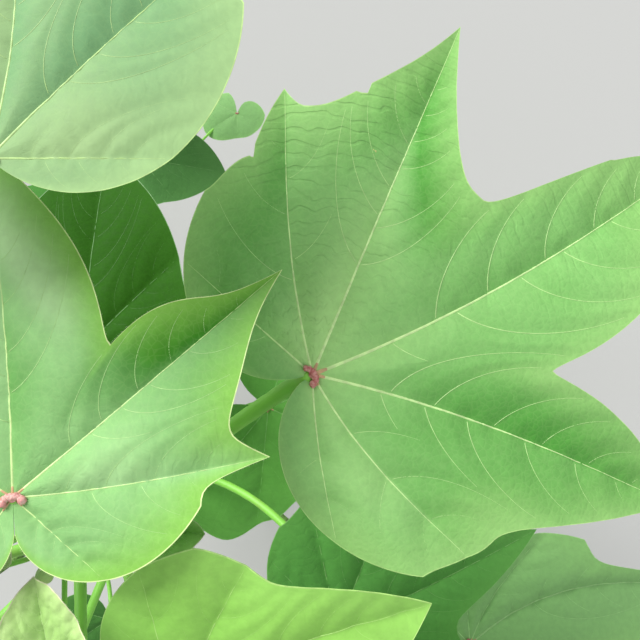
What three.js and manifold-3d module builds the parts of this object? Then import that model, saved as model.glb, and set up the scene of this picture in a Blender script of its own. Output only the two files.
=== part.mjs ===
// A young cotton plant, rooted in level ground. Millimetres, +Z up.
// The origin is the centre of the flat cut under the foot of the stem.
// +X and +Y are level, and angles in the plan run from +X towards +Y.

import * as THREE from 'three';
import { mergeVertices } from 'three/addons/utils/BufferGeometryUtils.js';
import Module from 'manifold-3d';

const wasm = await Module();
wasm.setup();

// Driving dimensions of the stem
const STEM_HEIGHT = 388;
const STEM_FOOT_RADIUS = 4.6;
const STEM_TIP_RADIUS = 1.5;
const FLARE_RADIUS = 8;
const FLARE_HEIGHT = 18;
const FLARE_FADE = 3.2;
const STEM_WANDER = 2.2;
const NODE_SWELL = 0.35;
const NODE_SPACING = 27;

// Driving dimensions of the leaves: all are shares of a leaf's own reach,
// which is the length of its middle lobe from the petiole's end
const BLADE_THICKNESS_SHARE = 0.016;
const PETIOLE_RADIUS_SHARE = 0.013;
const PETIOLE_RADIUS_BASE = 0.45;
const KNOB_SHARE = 1.5;
const KNOB_STRETCH = [1.25, 1, 0.7];

// Gap between a limb and what it carries
const SEAT_GAP = 0.3;

// Facets
const STEM_SIDES = 12;
const STEM_STEPS = 24;
const BOUGH_SIDES = 8;
const BOUGH_STEPS = 10;
const PETIOLE_SIDES = 6;
const PETIOLE_STEPS = 6;
const FINE_STEP = 8;
const COARSE_STEP = 14;
const SMALL_LEAF_STEP = 1.7;
const SIMPLE_WITHIN = 0.05;
const FINE_RINGS = [0.3, 0.66, 1];
const SMALL_RINGS = [0.52, 1];
const TIP_CROWDING = 1.4;
const KNOB_SIDES = 6;
const KNOB_RINGS = 4;

// Shape of the blade's surface: how the puffs between the veins grow and fade
// along the blade, how many waves go round its edge, and the power by which a
// lobe's last thin point climbs
const PUFF_RISE = 1.2;
const PUFF_FADE = 0.5;
const EDGE_WAVES = 5;
const DRIP_POWER = 7;

// Course of a petiole: the slopes at which it leaves the limb and meets the
// blade, the shares of its span that its ends are straight for, and how its
// foot is thickened
const PETIOLE_OUT = [0.8, 0.6];
const PETIOLE_IN = [0.62, 0.78];
const PETIOLE_OUT_SHARE = 0.36;
const PETIOLE_IN_SHARE = 0.26;
const PETIOLE_FOOT_SWELL = 0.35;
const PETIOLE_FOOT_FADE = 14;

const degrees = THREE.MathUtils.degToRad;

// Each outline is a list of features from the middle lobe round to the notch
// where the petiole enters. A feature has its angle from the middle lobe in
// degrees, its distance as a share of the reach, and its form. On a tip, inner
// and outer tell how hollow the edges towards the middle lobe and away from it
// are: 1 is straight, and more is hollow. Drip is the share of a lobe that only
// its last thin point reaches.
const tip = (angle, share, inner = 1.8, outer = inner, drip = 0) => (
  { angle, share, form: 'tip', inner, outer, drip });
const sinus = (angle, share) => ({ angle, share, form: 'low' });
const shoulder = (angle, share) => ({ angle, share, form: 'low' });
const notch = (angle, share, wrap) => ({ angle, share, form: 'notch', wrap });

const OUTLINES = {
  // The great leaf: five lobes, its left side shorter than its right
  great: {
    left: [tip(0, 1, 1.45), sinus(17.9, 0.488), tip(38.7, 0.79, 2.2, 2.5), sinus(62, 0.54),
      tip(66.6, 0.575, 1.4, 1.4), shoulder(78, 0.47), notch(165, 0.03, 0.9)],
    right: [tip(0, 1, 0.85), sinus(27.2, 0.478), tip(43.6, 0.79, 1.25, 0.95), sinus(71, 0.485),
      shoulder(90, 0.448), notch(174, 0.03, 1.1)],
    veins: [-106, -80, -43.6, 0, 38.7, 66.6, 110],
  },
  // The uppermost open leaf: broad lobes and sharp notches
  crested: {
    left: [tip(0, 1, 0.9, 0.9, 0.12), sinus(34, 0.5), tip(52, 0.92, 0.9, 1.2, 0.25),
      sinus(76, 0.6), tip(86, 0.68, 1.3), shoulder(96, 0.56), notch(176, 0.12, 0.8)],
    right: [tip(0, 1, 0.9, 0.9, 0.12), sinus(39.6, 0.49), tip(56, 0.96, 0.75, 1.2, 0.27),
      sinus(79.8, 0.6), tip(88, 0.7, 1.5), shoulder(98, 0.555), notch(178, 0.12, 0.8)],
    veins: [-137, -88, -56, 0, 52, 86, 137],
  },
  // The leaf that stands highest: three lobes and a wide open foot
  open_foot: {
    left: [tip(0, 1, 1.3), sinus(25, 0.68), tip(45, 0.93, 1.4), shoulder(58, 0.74),
      notch(130, 0.04, 0.85)],
    right: [tip(0, 1, 1.3), sinus(25, 0.68), tip(44, 0.93, 1.4, 1.6), shoulder(58, 0.75),
      notch(130, 0.04, 0.85)],
    veins: [-92, -45, 0, 45, 92],
  },
  // Full-grown leaves: five lobes
  palmate: {
    left: [tip(0, 1, 1.5), sinus(24, 0.52), tip(45, 0.8, 1.7, 1.4), sinus(66, 0.53),
      tip(80, 0.57, 1.5), shoulder(98, 0.5), notch(170, 0.05, 0.85)],
    right: [tip(0, 1, 1.5), sinus(23, 0.52), tip(44, 0.82, 1.7, 1.4), sinus(66, 0.54),
      tip(80, 0.58, 1.5), shoulder(98, 0.5), notch(170, 0.05, 0.85)],
    veins: [-112, -80, -44, 0, 45, 80, 112],
  },
  // Full-grown leaves with three lobes and a smooth round foot
  smooth_side: {
    left: [tip(0, 1, 1.5), sinus(22, 0.55), tip(45, 0.8, 1.6, 2.4), shoulder(64, 0.575),
      shoulder(84, 0.475), shoulder(108, 0.485), notch(174, 0.1, 0.6)],
    right: [tip(0, 1, 1.5), sinus(24, 0.55), tip(45, 0.8, 1.6, 1.6), shoulder(68, 0.52),
      shoulder(90, 0.4), notch(136, 0.06, 0.9)],
    veins: [-100, -76, -45, 0, 45, 82, 118],
  },
  // Leaves of the lower nodes: three shallow lobes and a full foot
  three_lobed: {
    left: [tip(0, 1, 1.4), sinus(30, 0.62), tip(46, 0.78, 1.5, 1.3), sinus(66, 0.6),
      shoulder(92, 0.62), notch(166, 0.08, 0.65)],
    right: [tip(0, 1, 1.4), sinus(46, 0.5), tip(64, 0.69, 1.2, 1), shoulder(76, 0.66),
      shoulder(100, 0.66), notch(166, 0.08, 0.65)],
    veins: [-104, -64, 0, 46, 96],
  },
  // The first leaves: heart-shaped, with one point
  heart: {
    left: [tip(0, 1, 1.25), shoulder(60, 0.57), shoulder(95, 0.52), notch(165, 0.08, 0.65)],
    right: [tip(0, 1, 1.25), shoulder(60, 0.57), shoulder(95, 0.52), notch(165, 0.08, 0.65)],
    veins: [-90, -42, 0, 42, 90],
  },
  // A seed leaf: kidney-shaped, wider than it is long
  kidney: {
    left: [shoulder(0, 1), shoulder(62, 1.28), notch(170, 0.2, 0.65)],
    right: [shoulder(0, 1), shoulder(58, 1.28), notch(170, 0.2, 0.65)],
    veins: [-60, 0, 60],
  },
};

// Distance of the edge at one side, as a share of the reach
function edgeShare(features, angle) {
  for (let i = 0; i < features.length - 1; i += 1) {
    const near = features[i];
    const far = features[i + 1];
    if (angle <= far.angle) {
      const s = (angle - near.angle) / (far.angle - near.angle);
      const span = far.share - near.share;
      if (far.form === 'notch') return far.share - span * (1 - s) ** far.wrap;
      if (near.form === 'tip') return far.share - span * lobeRise(1 - s, near.outer, near.drip);
      if (far.form === 'tip') return near.share + span * lobeRise(s, far.inner, far.drip);
      return near.share + span * s * s * (3 - 2 * s);
    }
  }
  return features[features.length - 1].share;
}

// How the edge climbs from a sinus (u = 0) to a tip (u = 1)
const lobeRise = (u, hollow, drip) => (1 - drip) * u ** hollow + drip * u ** DRIP_POWER;

// Angles at which the edge gets a corner: closer together towards each tip
function stationAngles(features, fine) {
  const angles = [];
  for (let i = 0; i < features.length - 1; i += 1) {
    const near = features[i];
    const far = features[i + 1];
    const span = far.angle - near.angle;
    const wanted = far.form === 'notch' ? COARSE_STEP : FINE_STEP;
    const steps = Math.max(2, Math.round(span / (fine ? wanted : wanted * SMALL_LEAF_STEP)));
    for (let k = 0; k < steps; k += 1) {
      let s = k / steps;
      if (near.form === 'tip') s **= TIP_CROWDING;
      else if (far.form !== 'low') s = 1 - (1 - s) ** TIP_CROWDING;
      angles.push(near.angle + span * s);
    }
  }
  angles.push(features[features.length - 1].angle);
  return angles;
}

// How far a point of the blade lies between two main veins: 0 on a vein, 1 midway
function sectorCrown(veins, angle) {
  for (let i = 0; i < veins.length - 1; i += 1) {
    if (angle >= veins[i] && angle <= veins[i + 1]) {
      return Math.sin(Math.PI * (angle - veins[i]) / (veins[i + 1] - veins[i]));
    }
  }
  return 0;
}

// Height of the blade over its own plane: it lifts from the petiole's end,
// bends down towards its tips, folds up along the middle vein in a young leaf,
// and puffs up between the main veins, which lie in valleys
function bladeHeight(leaf, distance, angle) {
  const t = distance / leaf.reach;
  const side = Math.abs(Math.sin(degrees(angle)));
  const lift = leaf.lift * t;
  const droop = -leaf.droop * t * t;
  const fold = leaf.fold * t * side;
  const crown = sectorCrown(OUTLINES[leaf.outline].veins, angle);
  const puff = leaf.puff * t * (PUFF_RISE - PUFF_FADE * t) * crown;
  const wave = leaf.wave * t * t * Math.sin(degrees(angle) * EDGE_WAVES + leaf.heading);
  return leaf.reach * (lift + droop + fold + puff + wave);
}

// Turns a blade's own coordinates (along, left, up) into the plant's
function bladeMatrix(leaf) {
  const matrix = new THREE.Matrix4().makeTranslation(...leaf.junction);
  matrix.multiply(new THREE.Matrix4().makeRotationZ(degrees(leaf.heading)));
  matrix.multiply(new THREE.Matrix4().makeRotationY(degrees(leaf.pitch)));
  matrix.multiply(new THREE.Matrix4().makeRotationX(degrees(leaf.roll)));
  return matrix;
}

// A closed body from corners and triangles
function bodyFrom(corners, triangles) {
  const geometry = new THREE.BufferGeometry();
  geometry.setAttribute('position', new THREE.Float32BufferAttribute(corners.flat(), 3));
  geometry.setIndex(triangles.flat());
  return solid(geometry);
}

function solid(geometry) {
  geometry.deleteAttribute('normal');
  geometry.deleteAttribute('uv');
  const merged = mergeVertices(geometry, 1e-4);
  return new wasm.Manifold(new wasm.Mesh({
    numProp: 3,
    vertProperties: new Float32Array(merged.attributes.position.array),
    triVerts: new Uint32Array(merged.index.array),
  }));
}

// The blade: rings of corners round the petiole's end, above and below, with a rim
function blade(leaf) {
  const outline = OUTLINES[leaf.outline];
  const rights = stationAngles(outline.right, leaf.fine).slice(1).reverse();
  const angles = [...rights.map((a) => -a), ...stationAngles(outline.left, leaf.fine)];
  const rings = leaf.fine ? FINE_RINGS : SMALL_RINGS;
  const half = leaf.reach * BLADE_THICKNESS_SHARE / 2;
  const matrix = bladeMatrix(leaf);
  const place = (distance, angle, up) => {
    const a = degrees(angle);
    const z = bladeHeight(leaf, distance, angle) + up;
    return new THREE.Vector3(distance * Math.cos(a), distance * Math.sin(a), z)
      .applyMatrix4(matrix).toArray();
  };
  const corners = [];
  for (const up of [half, -half]) {
    corners.push(place(0, 0, up));
    for (const ring of rings) {
      for (const angle of angles) {
        const features = angle < 0 ? outline.right : outline.left;
        const edge = leaf.reach * edgeShare(features, Math.abs(angle));
        corners.push(place(edge * ring, angle, up));
      }
    }
  }
  const count = angles.length;
  const layer = 1 + rings.length * count;
  const at = (side, ring, i) => side * layer + 1 + ring * count + i;
  const triangles = [];
  const face = (side, a, b, c) => triangles.push(side === 0 ? [a, b, c] : [a, c, b]);
  for (const side of [0, 1]) {
    for (let i = 0; i < count - 1; i += 1) {
      face(side, side * layer, at(side, 0, i), at(side, 0, i + 1));
      for (let ring = 0; ring < rings.length - 1; ring += 1) {
        face(side, at(side, ring, i), at(side, ring + 1, i), at(side, ring + 1, i + 1));
        face(side, at(side, ring, i), at(side, ring + 1, i + 1), at(side, ring, i + 1));
      }
    }
  }
  const rim = [0];
  for (let ring = 0; ring < rings.length; ring += 1) rim.push(at(0, ring, 0));
  for (let i = 1; i < count; i += 1) rim.push(at(0, rings.length - 1, i));
  for (let ring = rings.length - 2; ring >= 0; ring -= 1) rim.push(at(0, ring, count - 1));
  rim.forEach((top, k) => {
    const next = rim[(k + 1) % rim.length];
    triangles.push([top, top + layer, next + layer], [top, next + layer, next]);
  });
  return bodyFrom(corners, triangles);
}

// A limb: a closed cylinder bent along a curve, with its own radius at each height
function limb(curve, radiusAt, sides, steps) {
  const geometry = new THREE.CylinderGeometry(1, 1, 1, sides, steps);
  const frames = curve.computeFrenetFrames(steps);
  const position = geometry.attributes.position;
  for (let i = 0; i < position.count; i += 1) {
    const t = position.getY(i) + 0.5;
    const step = Math.round(t * steps);
    const radius = radiusAt(t);
    const point = curve.getPointAt(t)
      .addScaledVector(frames.binormals[step], position.getX(i) * radius)
      .addScaledVector(frames.normals[step], position.getZ(i) * radius);
    position.setXYZ(i, point.x, point.y, point.z);
  }
  const body = solid(geometry);
  if (body.volume() > 0) return body;
  const index = geometry.index.array;
  for (let i = 0; i < index.length; i += 3) [index[i], index[i + 1]] = [index[i + 1], index[i]];
  return solid(geometry);
}

// The stem stands upright and wanders a little from node to node
function stemPoint(height) {
  const s = height / STEM_HEIGHT;
  return new THREE.Vector3(
    STEM_WANDER * s * s * Math.sin(7 * s),
    STEM_WANDER * s * s * Math.cos(6 * s + 1),
    height,
  );
}

class StemCurve extends THREE.Curve {
  getPoint(t, target = new THREE.Vector3()) {
    return target.copy(stemPoint(t * STEM_HEIGHT));
  }
}

function stemRadius(height, grow = 0) {
  const s = height / STEM_HEIGHT;
  const taper = STEM_FOOT_RADIUS + (STEM_TIP_RADIUS - STEM_FOOT_RADIUS) * s;
  const flare = (FLARE_RADIUS - STEM_FOOT_RADIUS) * Math.exp(-FLARE_FADE * height / FLARE_HEIGHT);
  const swell = NODE_SWELL * Math.max(0, Math.cos(2 * Math.PI * height / NODE_SPACING)) ** 3;
  return taper + flare + (height > FLARE_HEIGHT ? swell : 0) + grow;
}

const stem = (grow = 0) => limb(
  new StemCurve(), (t) => stemRadius(t * STEM_HEIGHT, grow), STEM_SIDES, STEM_STEPS);

// Side boughs: each springs from the stem at a low node and rises as it leaves
const BOUGHS = {
  bough_back: {
    route: [[0, 0, 62], [-11, 48, 84], [-21, 100, 122], [-17, 144, 162]],
    foot_radius: 2.8, tip_radius: 1.5,
  },
  bough_right: {
    route: [[0, 0, 112], [41, -29, 146], [80, -50, 190], [102, -59, 222]],
    foot_radius: 2.7, tip_radius: 1.5,
  },
  bough_left: {
    route: [[0, 0, 88], [-40, -26, 108], [-84, -56, 144], [-104, -70, 168]],
    foot_radius: 2.6, tip_radius: 1.4,
  },
};

for (const bough of Object.values(BOUGHS)) {
  const foot = stemPoint(bough.route[0][2]);
  const rest = bough.route.slice(1).map((p) => new THREE.Vector3(...p));
  bough.curve = new THREE.CatmullRomCurve3([foot, ...rest]);
}

const boughRadius = (bough, t, grow) => (
  bough.foot_radius + (bough.tip_radius - bough.foot_radius) * t + grow);

// A bough ends in a rounded tip
function boughBody(bough, grow = 0) {
  const round = new THREE.SphereGeometry(bough.tip_radius + grow, BOUGH_SIDES, BOUGH_SIDES / 2);
  round.translate(...bough.route[bough.route.length - 1]);
  return limb(bough.curve, (t) => boughRadius(bough, t, grow), BOUGH_SIDES, BOUGH_STEPS)
    .add(solid(round));
}

// The largest of the bodies that a cut leaves
const largest = (body) => body.decompose().sort((a, b) => b.volume() - a.volume())[0];

// The leaves. "on" is the limb that carries the leaf and "at" where: a height on
// the stem, or a share of a bough's length. "junction" is the petiole's end and
// "heading" the way the middle lobe points in plan. "pitch" lowers the middle
// lobe, "roll" lifts the blade's left side, and "bow" bends the petiole aside.
const MATURE = {
  pitch: 6, roll: 0, lift: 0.06, droop: 0.16, fold: 0, puff: 0.045, wave: 0.01, bow: [0, 0, 0],
};
const YOUNG = { ...MATURE, lift: 0.1, droop: 0.1, fold: 0.5, puff: 0.02, wave: 0.02 };

const LEAVES = [
  { name: 'leaf_stem_1', outline: 'heart', on: 'stem', at: 128, junction: [-78, 22, 176],
    heading: 165, reach: 60, ...MATURE, pitch: 14, roll: 6, droop: 0.2 },
  { name: 'leaf_stem_2', outline: 'heart', on: 'stem', at: 150, junction: [4, -84, 205],
    heading: 268, reach: 66, ...MATURE, pitch: 18, roll: -8, droop: 0.2 },
  { name: 'leaf_stem_3', outline: 'three_lobed', on: 'stem', at: 180, junction: [50, 29, 230],
    heading: -25, reach: 88, ...MATURE, pitch: 10, roll: 0, droop: 0.18 },
  { name: 'leaf_stem_4', outline: 'three_lobed', on: 'stem', at: 200, junction: [-90, -42, 252],
    heading: 205, reach: 82, ...MATURE, pitch: 20, roll: 8, droop: 0.22 },
  { name: 'leaf_stem_5', outline: 'heart', on: 'stem', at: 216, junction: [-22, 56, 270],
    heading: 87, reach: 84, ...MATURE, pitch: 9, roll: -4, droop: 0.16 },
  { name: 'leaf_stem_6', outline: 'palmate', on: 'stem', at: 232, junction: [79.5, -47.3, 292],
    heading: 22, reach: 88, ...MATURE, pitch: 8, roll: 0, droop: 0.16, bow: [15, 27, 0] },
  { name: 'leaf_stem_7', outline: 'palmate', on: 'stem', at: 250, junction: [-42, -112, 300],
    heading: 250, reach: 100, ...MATURE, pitch: 24, roll: -6, droop: 0.2 },
  { name: 'leaf_stem_8', outline: 'palmate', on: 'stem', at: 268, junction: [-112, 30, 325],
    heading: 165, reach: 102, ...MATURE, pitch: 20, roll: 8, droop: 0.22 },
  { name: 'leaf_stem_9', outline: 'palmate', on: 'stem', at: 286, junction: [128, -73, 336],
    heading: -38, reach: 84, ...MATURE, pitch: 14, roll: -5, droop: 0.2, bow: [-4, -18, 0] },
  { name: 'leaf_stem_10', outline: 'palmate', on: 'stem', at: 300, junction: [-80, -78, 352],
    heading: 225, reach: 108, ...MATURE, pitch: 26, roll: -8, droop: 0.2 },
  { name: 'leaf_stem_11', outline: 'smooth_side', on: 'stem', at: 322, junction: [35.6, -36.5, 385],
    heading: -20, reach: 96, ...MATURE, roll: 18, fine: true },
  { name: 'leaf_stem_12', outline: 'open_foot', on: 'stem', at: 330, junction: [1.2, 103, 430],
    heading: 92, reach: 88, ...MATURE, pitch: 8, roll: 0, droop: 0.16, bow: [-60, 2, -6], fine: true },
  { name: 'leaf_stem_13', outline: 'palmate', on: 'stem', at: 338, junction: [-100, -22, 372],
    heading: 190, reach: 104, ...MATURE, pitch: 20, roll: 7, droop: 0.22 },
  { name: 'leaf_stem_14', outline: 'great', on: 'stem', at: 345, junction: [71, 53, 378],
    heading: 28.4, reach: 142, ...MATURE, pitch: 8, droop: 0.18, fine: true },
  { name: 'leaf_stem_15', outline: 'palmate', on: 'stem', at: 352, junction: [17, -98, 412],
    heading: 277, reach: 98, ...MATURE, pitch: 20, roll: -5, droop: 0.22, fine: true },
  { name: 'leaf_stem_16', outline: 'crested', on: 'stem', at: 362, junction: [-2.7, 24.3, 404],
    heading: 97, reach: 91, ...MATURE, droop: 0.1, fine: true },
  { name: 'leaf_back_1', outline: 'heart', on: 'bough_back', at: 0.62, junction: [-15, 147, 190],
    heading: -8, reach: 42, ...MATURE, pitch: 4, roll: 0, droop: 0.16 },
  { name: 'leaf_back_2', outline: 'kidney', on: 'bough_back', at: 0.9, junction: [28.6, 178.5, 150],
    heading: -88, reach: 16, ...MATURE, pitch: 0 },
  { name: 'leaf_back_3', outline: 'three_lobed', on: 'bough_back', at: 0.99,
    junction: [-20, 194, 232], heading: 100, reach: 62, ...MATURE, pitch: 20, roll: -6,
    droop: 0.2, bow: [-26, 10, -12] },
  { name: 'leaf_back_4', outline: 'heart', on: 'bough_back', at: 0.34, junction: [-64, 108, 150],
    heading: 140, reach: 54, ...MATURE, pitch: 18, roll: 8, droop: 0.2 },
  { name: 'leaf_right_1', outline: 'heart', on: 'bough_right', at: 0.4, junction: [98, 22, 172],
    heading: 45, reach: 56, ...MATURE, pitch: 16, roll: -6, droop: 0.2 },
  { name: 'leaf_right_2', outline: 'heart', on: 'bough_right', at: 0.62, junction: [70, -118, 222],
    heading: -75, reach: 62, ...MATURE, pitch: 20, roll: 6, droop: 0.2 },
  { name: 'leaf_right_3', outline: 'palmate', on: 'bough_right', at: 0.99,
    junction: [136, -68.2, 252], heading: 8, reach: 116, ...MATURE, pitch: 10, roll: 0, droop: 0.16 },
  { name: 'leaf_left_1', outline: 'three_lobed', on: 'bough_left', at: 0.98,
    junction: [-132, -90, 202], heading: 215, reach: 66, ...MATURE, pitch: 22, roll: -8, droop: 0.22 },
  { name: 'leaf_left_2', outline: 'heart', on: 'bough_left', at: 0.5, junction: [-40, -92, 150],
    heading: 262, reach: 54, ...MATURE, pitch: 18, roll: 6, droop: 0.2 },
  { name: 'young_leaf_1', outline: 'heart', on: 'stem', at: 372, junction: [6, -20, 400],
    heading: 95, reach: 24, ...YOUNG },
  { name: 'young_leaf_2', outline: 'heart', on: 'stem', at: 366, junction: [-14, 3, 388],
    heading: 150, reach: 22, ...YOUNG },
  { name: 'young_leaf_3', outline: 'heart', on: 'stem', at: 330, junction: [21, 4.5, 352],
    heading: -8, reach: 17, ...YOUNG },
];

// Where a leaf's petiole starts: on the axis of the limb that carries it
function footOf(leaf) {
  return leaf.on === 'stem' ? stemPoint(leaf.at) : BOUGHS[leaf.on].curve.getPointAt(leaf.at);
}

// The petiole leaves its limb outwards and upwards, and comes to the blade from behind
function petioleCurve(leaf) {
  const foot = footOf(leaf);
  const end = new THREE.Vector3(...leaf.junction);
  const bow = new THREE.Vector3(...leaf.bow);
  const span = end.distanceTo(foot);
  const heading = degrees(leaf.heading);
  const [outLevel, outUp] = PETIOLE_OUT;
  const [inLevel, inUp] = PETIOLE_IN;
  const rise = new THREE.Vector3(Math.cos(heading), Math.sin(heading), 0)
    .multiplyScalar(inLevel).setZ(inUp);
  const out = end.clone().sub(foot).setZ(0).setLength(outLevel).setZ(outUp);
  return new THREE.CubicBezierCurve3(
    foot,
    foot.clone().addScaledVector(out, PETIOLE_OUT_SHARE * span).add(bow),
    end.clone().addScaledVector(rise, -PETIOLE_IN_SHARE * span).add(bow),
    end.clone(),
  );
}

function petioleRadius(leaf, t) {
  const radius = PETIOLE_RADIUS_BASE + leaf.reach * PETIOLE_RADIUS_SHARE;
  return radius * (1 + PETIOLE_FOOT_SWELL * Math.exp(-PETIOLE_FOOT_FADE * t));
}

// The knob where the petiole meets the blade and the main veins part
function knob(leaf) {
  const radius = petioleRadius(leaf, 1) * KNOB_SHARE;
  const geometry = new THREE.SphereGeometry(radius, KNOB_SIDES, KNOB_RINGS);
  geometry.scale(...KNOB_STRETCH);
  geometry.applyMatrix4(bladeMatrix(leaf));
  return solid(geometry);
}

function leafBody(leaf) {
  const petiole = limb(petioleCurve(leaf), (t) => petioleRadius(leaf, t), PETIOLE_SIDES, PETIOLE_STEPS);
  const carrier = leaf.on === 'stem' ? stem(SEAT_GAP) : boughBody(BOUGHS[leaf.on], SEAT_GAP);
  const seated = largest(petiole.subtract(carrier));
  return seated.add(blade(leaf)).add(knob(leaf)).simplify(SIMPLE_WITHIN);
}

// The growing tip: a pointed bud over the end of the stem
const BUD_LENGTH = 9;
const BUD_RADIUS = 2.4;

function shootTip() {
  const profile = [[0, 0], [0.62, 0.02], [1, 0.35], [0.72, 0.7], [0.25, 0.95], [0, 1]];
  const points = profile.map(([r, h]) => new THREE.Vector2(r * BUD_RADIUS, h * BUD_LENGTH));
  const geometry = new THREE.LatheGeometry(points, 10);
  geometry.rotateX(Math.PI / 2);
  const end = stemPoint(STEM_HEIGHT);
  geometry.translate(end.x, end.y, end.z + SEAT_GAP);
  return solid(geometry);
}

const FINISHES = {
  bark: { color: 0x7a8a4a, roughness: 0.7, metalness: 0 },
  green_wood: { color: 0x6f9446, roughness: 0.6, metalness: 0 },
  leaf: { color: 0x82bc6a, roughness: 0.55, metalness: 0 },
  young: { color: 0xa6c872, roughness: 0.55, metalness: 0 },
};

function addPiece(group, name, body, finish) {
  const mesh = body.getMesh();
  const geometry = new THREE.BufferGeometry();
  geometry.setAttribute('position', new THREE.BufferAttribute(mesh.vertProperties, 3));
  geometry.setIndex(new THREE.BufferAttribute(mesh.triVerts, 1));
  geometry.computeVertexNormals();
  const piece = new THREE.Mesh(geometry, new THREE.MeshStandardMaterial(FINISHES[finish]));
  piece.name = name;
  group.add(piece);
}

const plant = new THREE.Group();
addPiece(plant, 'stem', stem(), 'bark');
addPiece(plant, 'shoot_tip', shootTip(), 'young');
for (const [name, bough] of Object.entries(BOUGHS)) {
  addPiece(plant, name, boughBody(bough).subtract(stem(SEAT_GAP)), 'green_wood');
}
for (const leaf of LEAVES) {
  addPiece(plant, leaf.name, leafBody(leaf), leaf.name.startsWith('young') ? 'young' : 'leaf');
}

export default plant;
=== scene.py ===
import math
import random

import bmesh
import bpy
import numpy as np
from mathutils import Matrix, Vector, kdtree, noise
from mathutils.bvhtree import BVHTree


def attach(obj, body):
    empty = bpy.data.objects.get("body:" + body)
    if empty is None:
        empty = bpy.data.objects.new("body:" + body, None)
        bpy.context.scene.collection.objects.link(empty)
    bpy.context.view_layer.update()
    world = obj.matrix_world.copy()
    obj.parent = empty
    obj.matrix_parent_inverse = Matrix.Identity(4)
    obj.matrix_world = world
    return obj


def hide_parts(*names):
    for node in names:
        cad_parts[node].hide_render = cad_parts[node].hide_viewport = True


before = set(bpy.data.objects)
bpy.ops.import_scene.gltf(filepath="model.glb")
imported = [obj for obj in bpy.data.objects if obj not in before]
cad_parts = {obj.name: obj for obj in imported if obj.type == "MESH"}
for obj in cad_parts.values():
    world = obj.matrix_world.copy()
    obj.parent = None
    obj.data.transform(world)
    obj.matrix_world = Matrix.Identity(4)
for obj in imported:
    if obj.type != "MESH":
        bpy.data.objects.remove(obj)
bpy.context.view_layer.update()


# The view: a camera over the plant that looks straight down past its growing tip, with the
# picture's top at +Y. The floor is a plain pale sheet, and the light is a soft sky with a
# broad lamp far off on the upper left and a weak one on the lower right.
CAMERA_PLACE = (0.073, 0.068, 0.620)
CAMERA_LENS = 49.44
CAMERA_NEAR = 0.01
FLOOR_SIDE = 60.0
FLOOR_COLOUR = (0.47, 0.465, 0.45, 1)
SKY_COLOUR = (0.93, 0.97, 1.0, 1)
SKY_STRENGTH = 0.55
LAMPS = {"key_light": {"from": (-1.13, 1.17, 1.05), "breadth": 37, "strength": 4.75},
         "fill_light": {"from": (1.27, -0.93, 0.9), "breadth": 48, "strength": 0.6}}


def plain_material(name, colour, roughness):
    """A principled material with one colour and one roughness."""
    material = bpy.data.materials.new(name)
    material.use_nodes = True
    shader = material.node_tree.nodes["Principled BSDF"]
    shader.inputs["Base Color"].default_value = colour
    shader.inputs["Roughness"].default_value = roughness
    return material


def object_from(bm, name, materials):
    """Turns a bmesh into a smooth object that stands at the origin."""
    mesh = bpy.data.meshes.new(name)
    bm.to_mesh(mesh)
    bm.free()
    for material in materials:
        mesh.materials.append(material)
    mesh.shade_smooth()
    piece = bpy.data.objects.new(name, mesh)
    bpy.context.collection.objects.link(piece)
    return piece


camera_data = bpy.data.cameras.new("camera")
camera_data.lens = CAMERA_LENS
camera_data.clip_start = CAMERA_NEAR
camera = bpy.data.objects.new("camera", camera_data)
camera.location = CAMERA_PLACE
bpy.context.collection.objects.link(camera)
bpy.context.scene.camera = camera
bpy.context.scene.view_settings.view_transform = "Standard"

world = bpy.data.worlds.new("sky")
world.use_nodes = True
world.node_tree.nodes["Background"].inputs["Color"].default_value = SKY_COLOUR
world.node_tree.nodes["Background"].inputs["Strength"].default_value = SKY_STRENGTH
bpy.context.scene.world = world
for name, lamp in LAMPS.items():
    lamp_data = bpy.data.lights.new(name, "SUN")
    lamp_data.angle = math.radians(lamp["breadth"])
    lamp_data.energy = lamp["strength"]
    light = bpy.data.objects.new(name, lamp_data)
    light.location = lamp["from"]
    light.rotation_euler = Vector(lamp["from"]).to_track_quat("Z", "Y").to_euler()
    bpy.context.collection.objects.link(light)

floor_mesh = bmesh.new()
bmesh.ops.create_grid(floor_mesh, x_segments=1, y_segments=1, size=FLOOR_SIDE / 2)
floor = object_from(floor_mesh, "floor", [plain_material("floor_pale", FLOOR_COLOUR, 0.9)])


# The main stem: green young wood, brown and corky at the foot. It has grown as one tapering
# shoot with a flared foot in the ground, a swelling at every node, ridges along its length,
# dark gland dots and short hairs.
STEM_HEIGHT = 0.388
STEM_FOOT_RADIUS = 0.0046
STEM_TIP_RADIUS = 0.0015
FLARE_RADIUS = 0.008
FLARE_HEIGHT = 0.018
FLARE_FADE = 3.2
STEM_WANDER = 0.0022
STEM_BENDS = (7, 6)
NODE_SWELL = 0.00035
NODE_SPACING = 0.027
STEM_SIDES = 48
STEM_ROWS = 420
TIP_ROWS = 6
LEVEL = ((1.0, 0.0, 0.0), (0.0, 1.0, 0.0))
RIDGES = 7
RIDGE_DEPTH = 0.05
BARK_DEPTH = 0.00022
BARK_HEIGHT = 0.09
BARK_WAVES = (900, 900, 160)
DRAWN_OUT = (1, 1, 0.12)
STREAK_SCALE = 900
BLUSH_SCALE = 28
GLAND_SCALE = 650
CORK_SCALE = 260
STEM_GREEN = (0.115, 0.235, 0.035, 1)
STEM_DEEP = (0.06, 0.13, 0.02, 1)
STEM_RED = (0.16, 0.075, 0.03, 1)
BARK_BROWN = (0.14, 0.095, 0.05, 1)
GLAND_DARK = (0.03, 0.045, 0.012, 1)
HAIR_PALE = (0.66, 0.72, 0.52, 1)
HAIR_RADIUS = 0.00003
HAIR_LEAN = 0.6
HAIR_LENGTHS = (0.5, 1.1)
HAIR_SUNK = 0.45
STEM_HAIR = 0.0008
STEM_HAIRS = 900
HAIRS_FROM = 0.16
HAIR_SEED = 5
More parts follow.
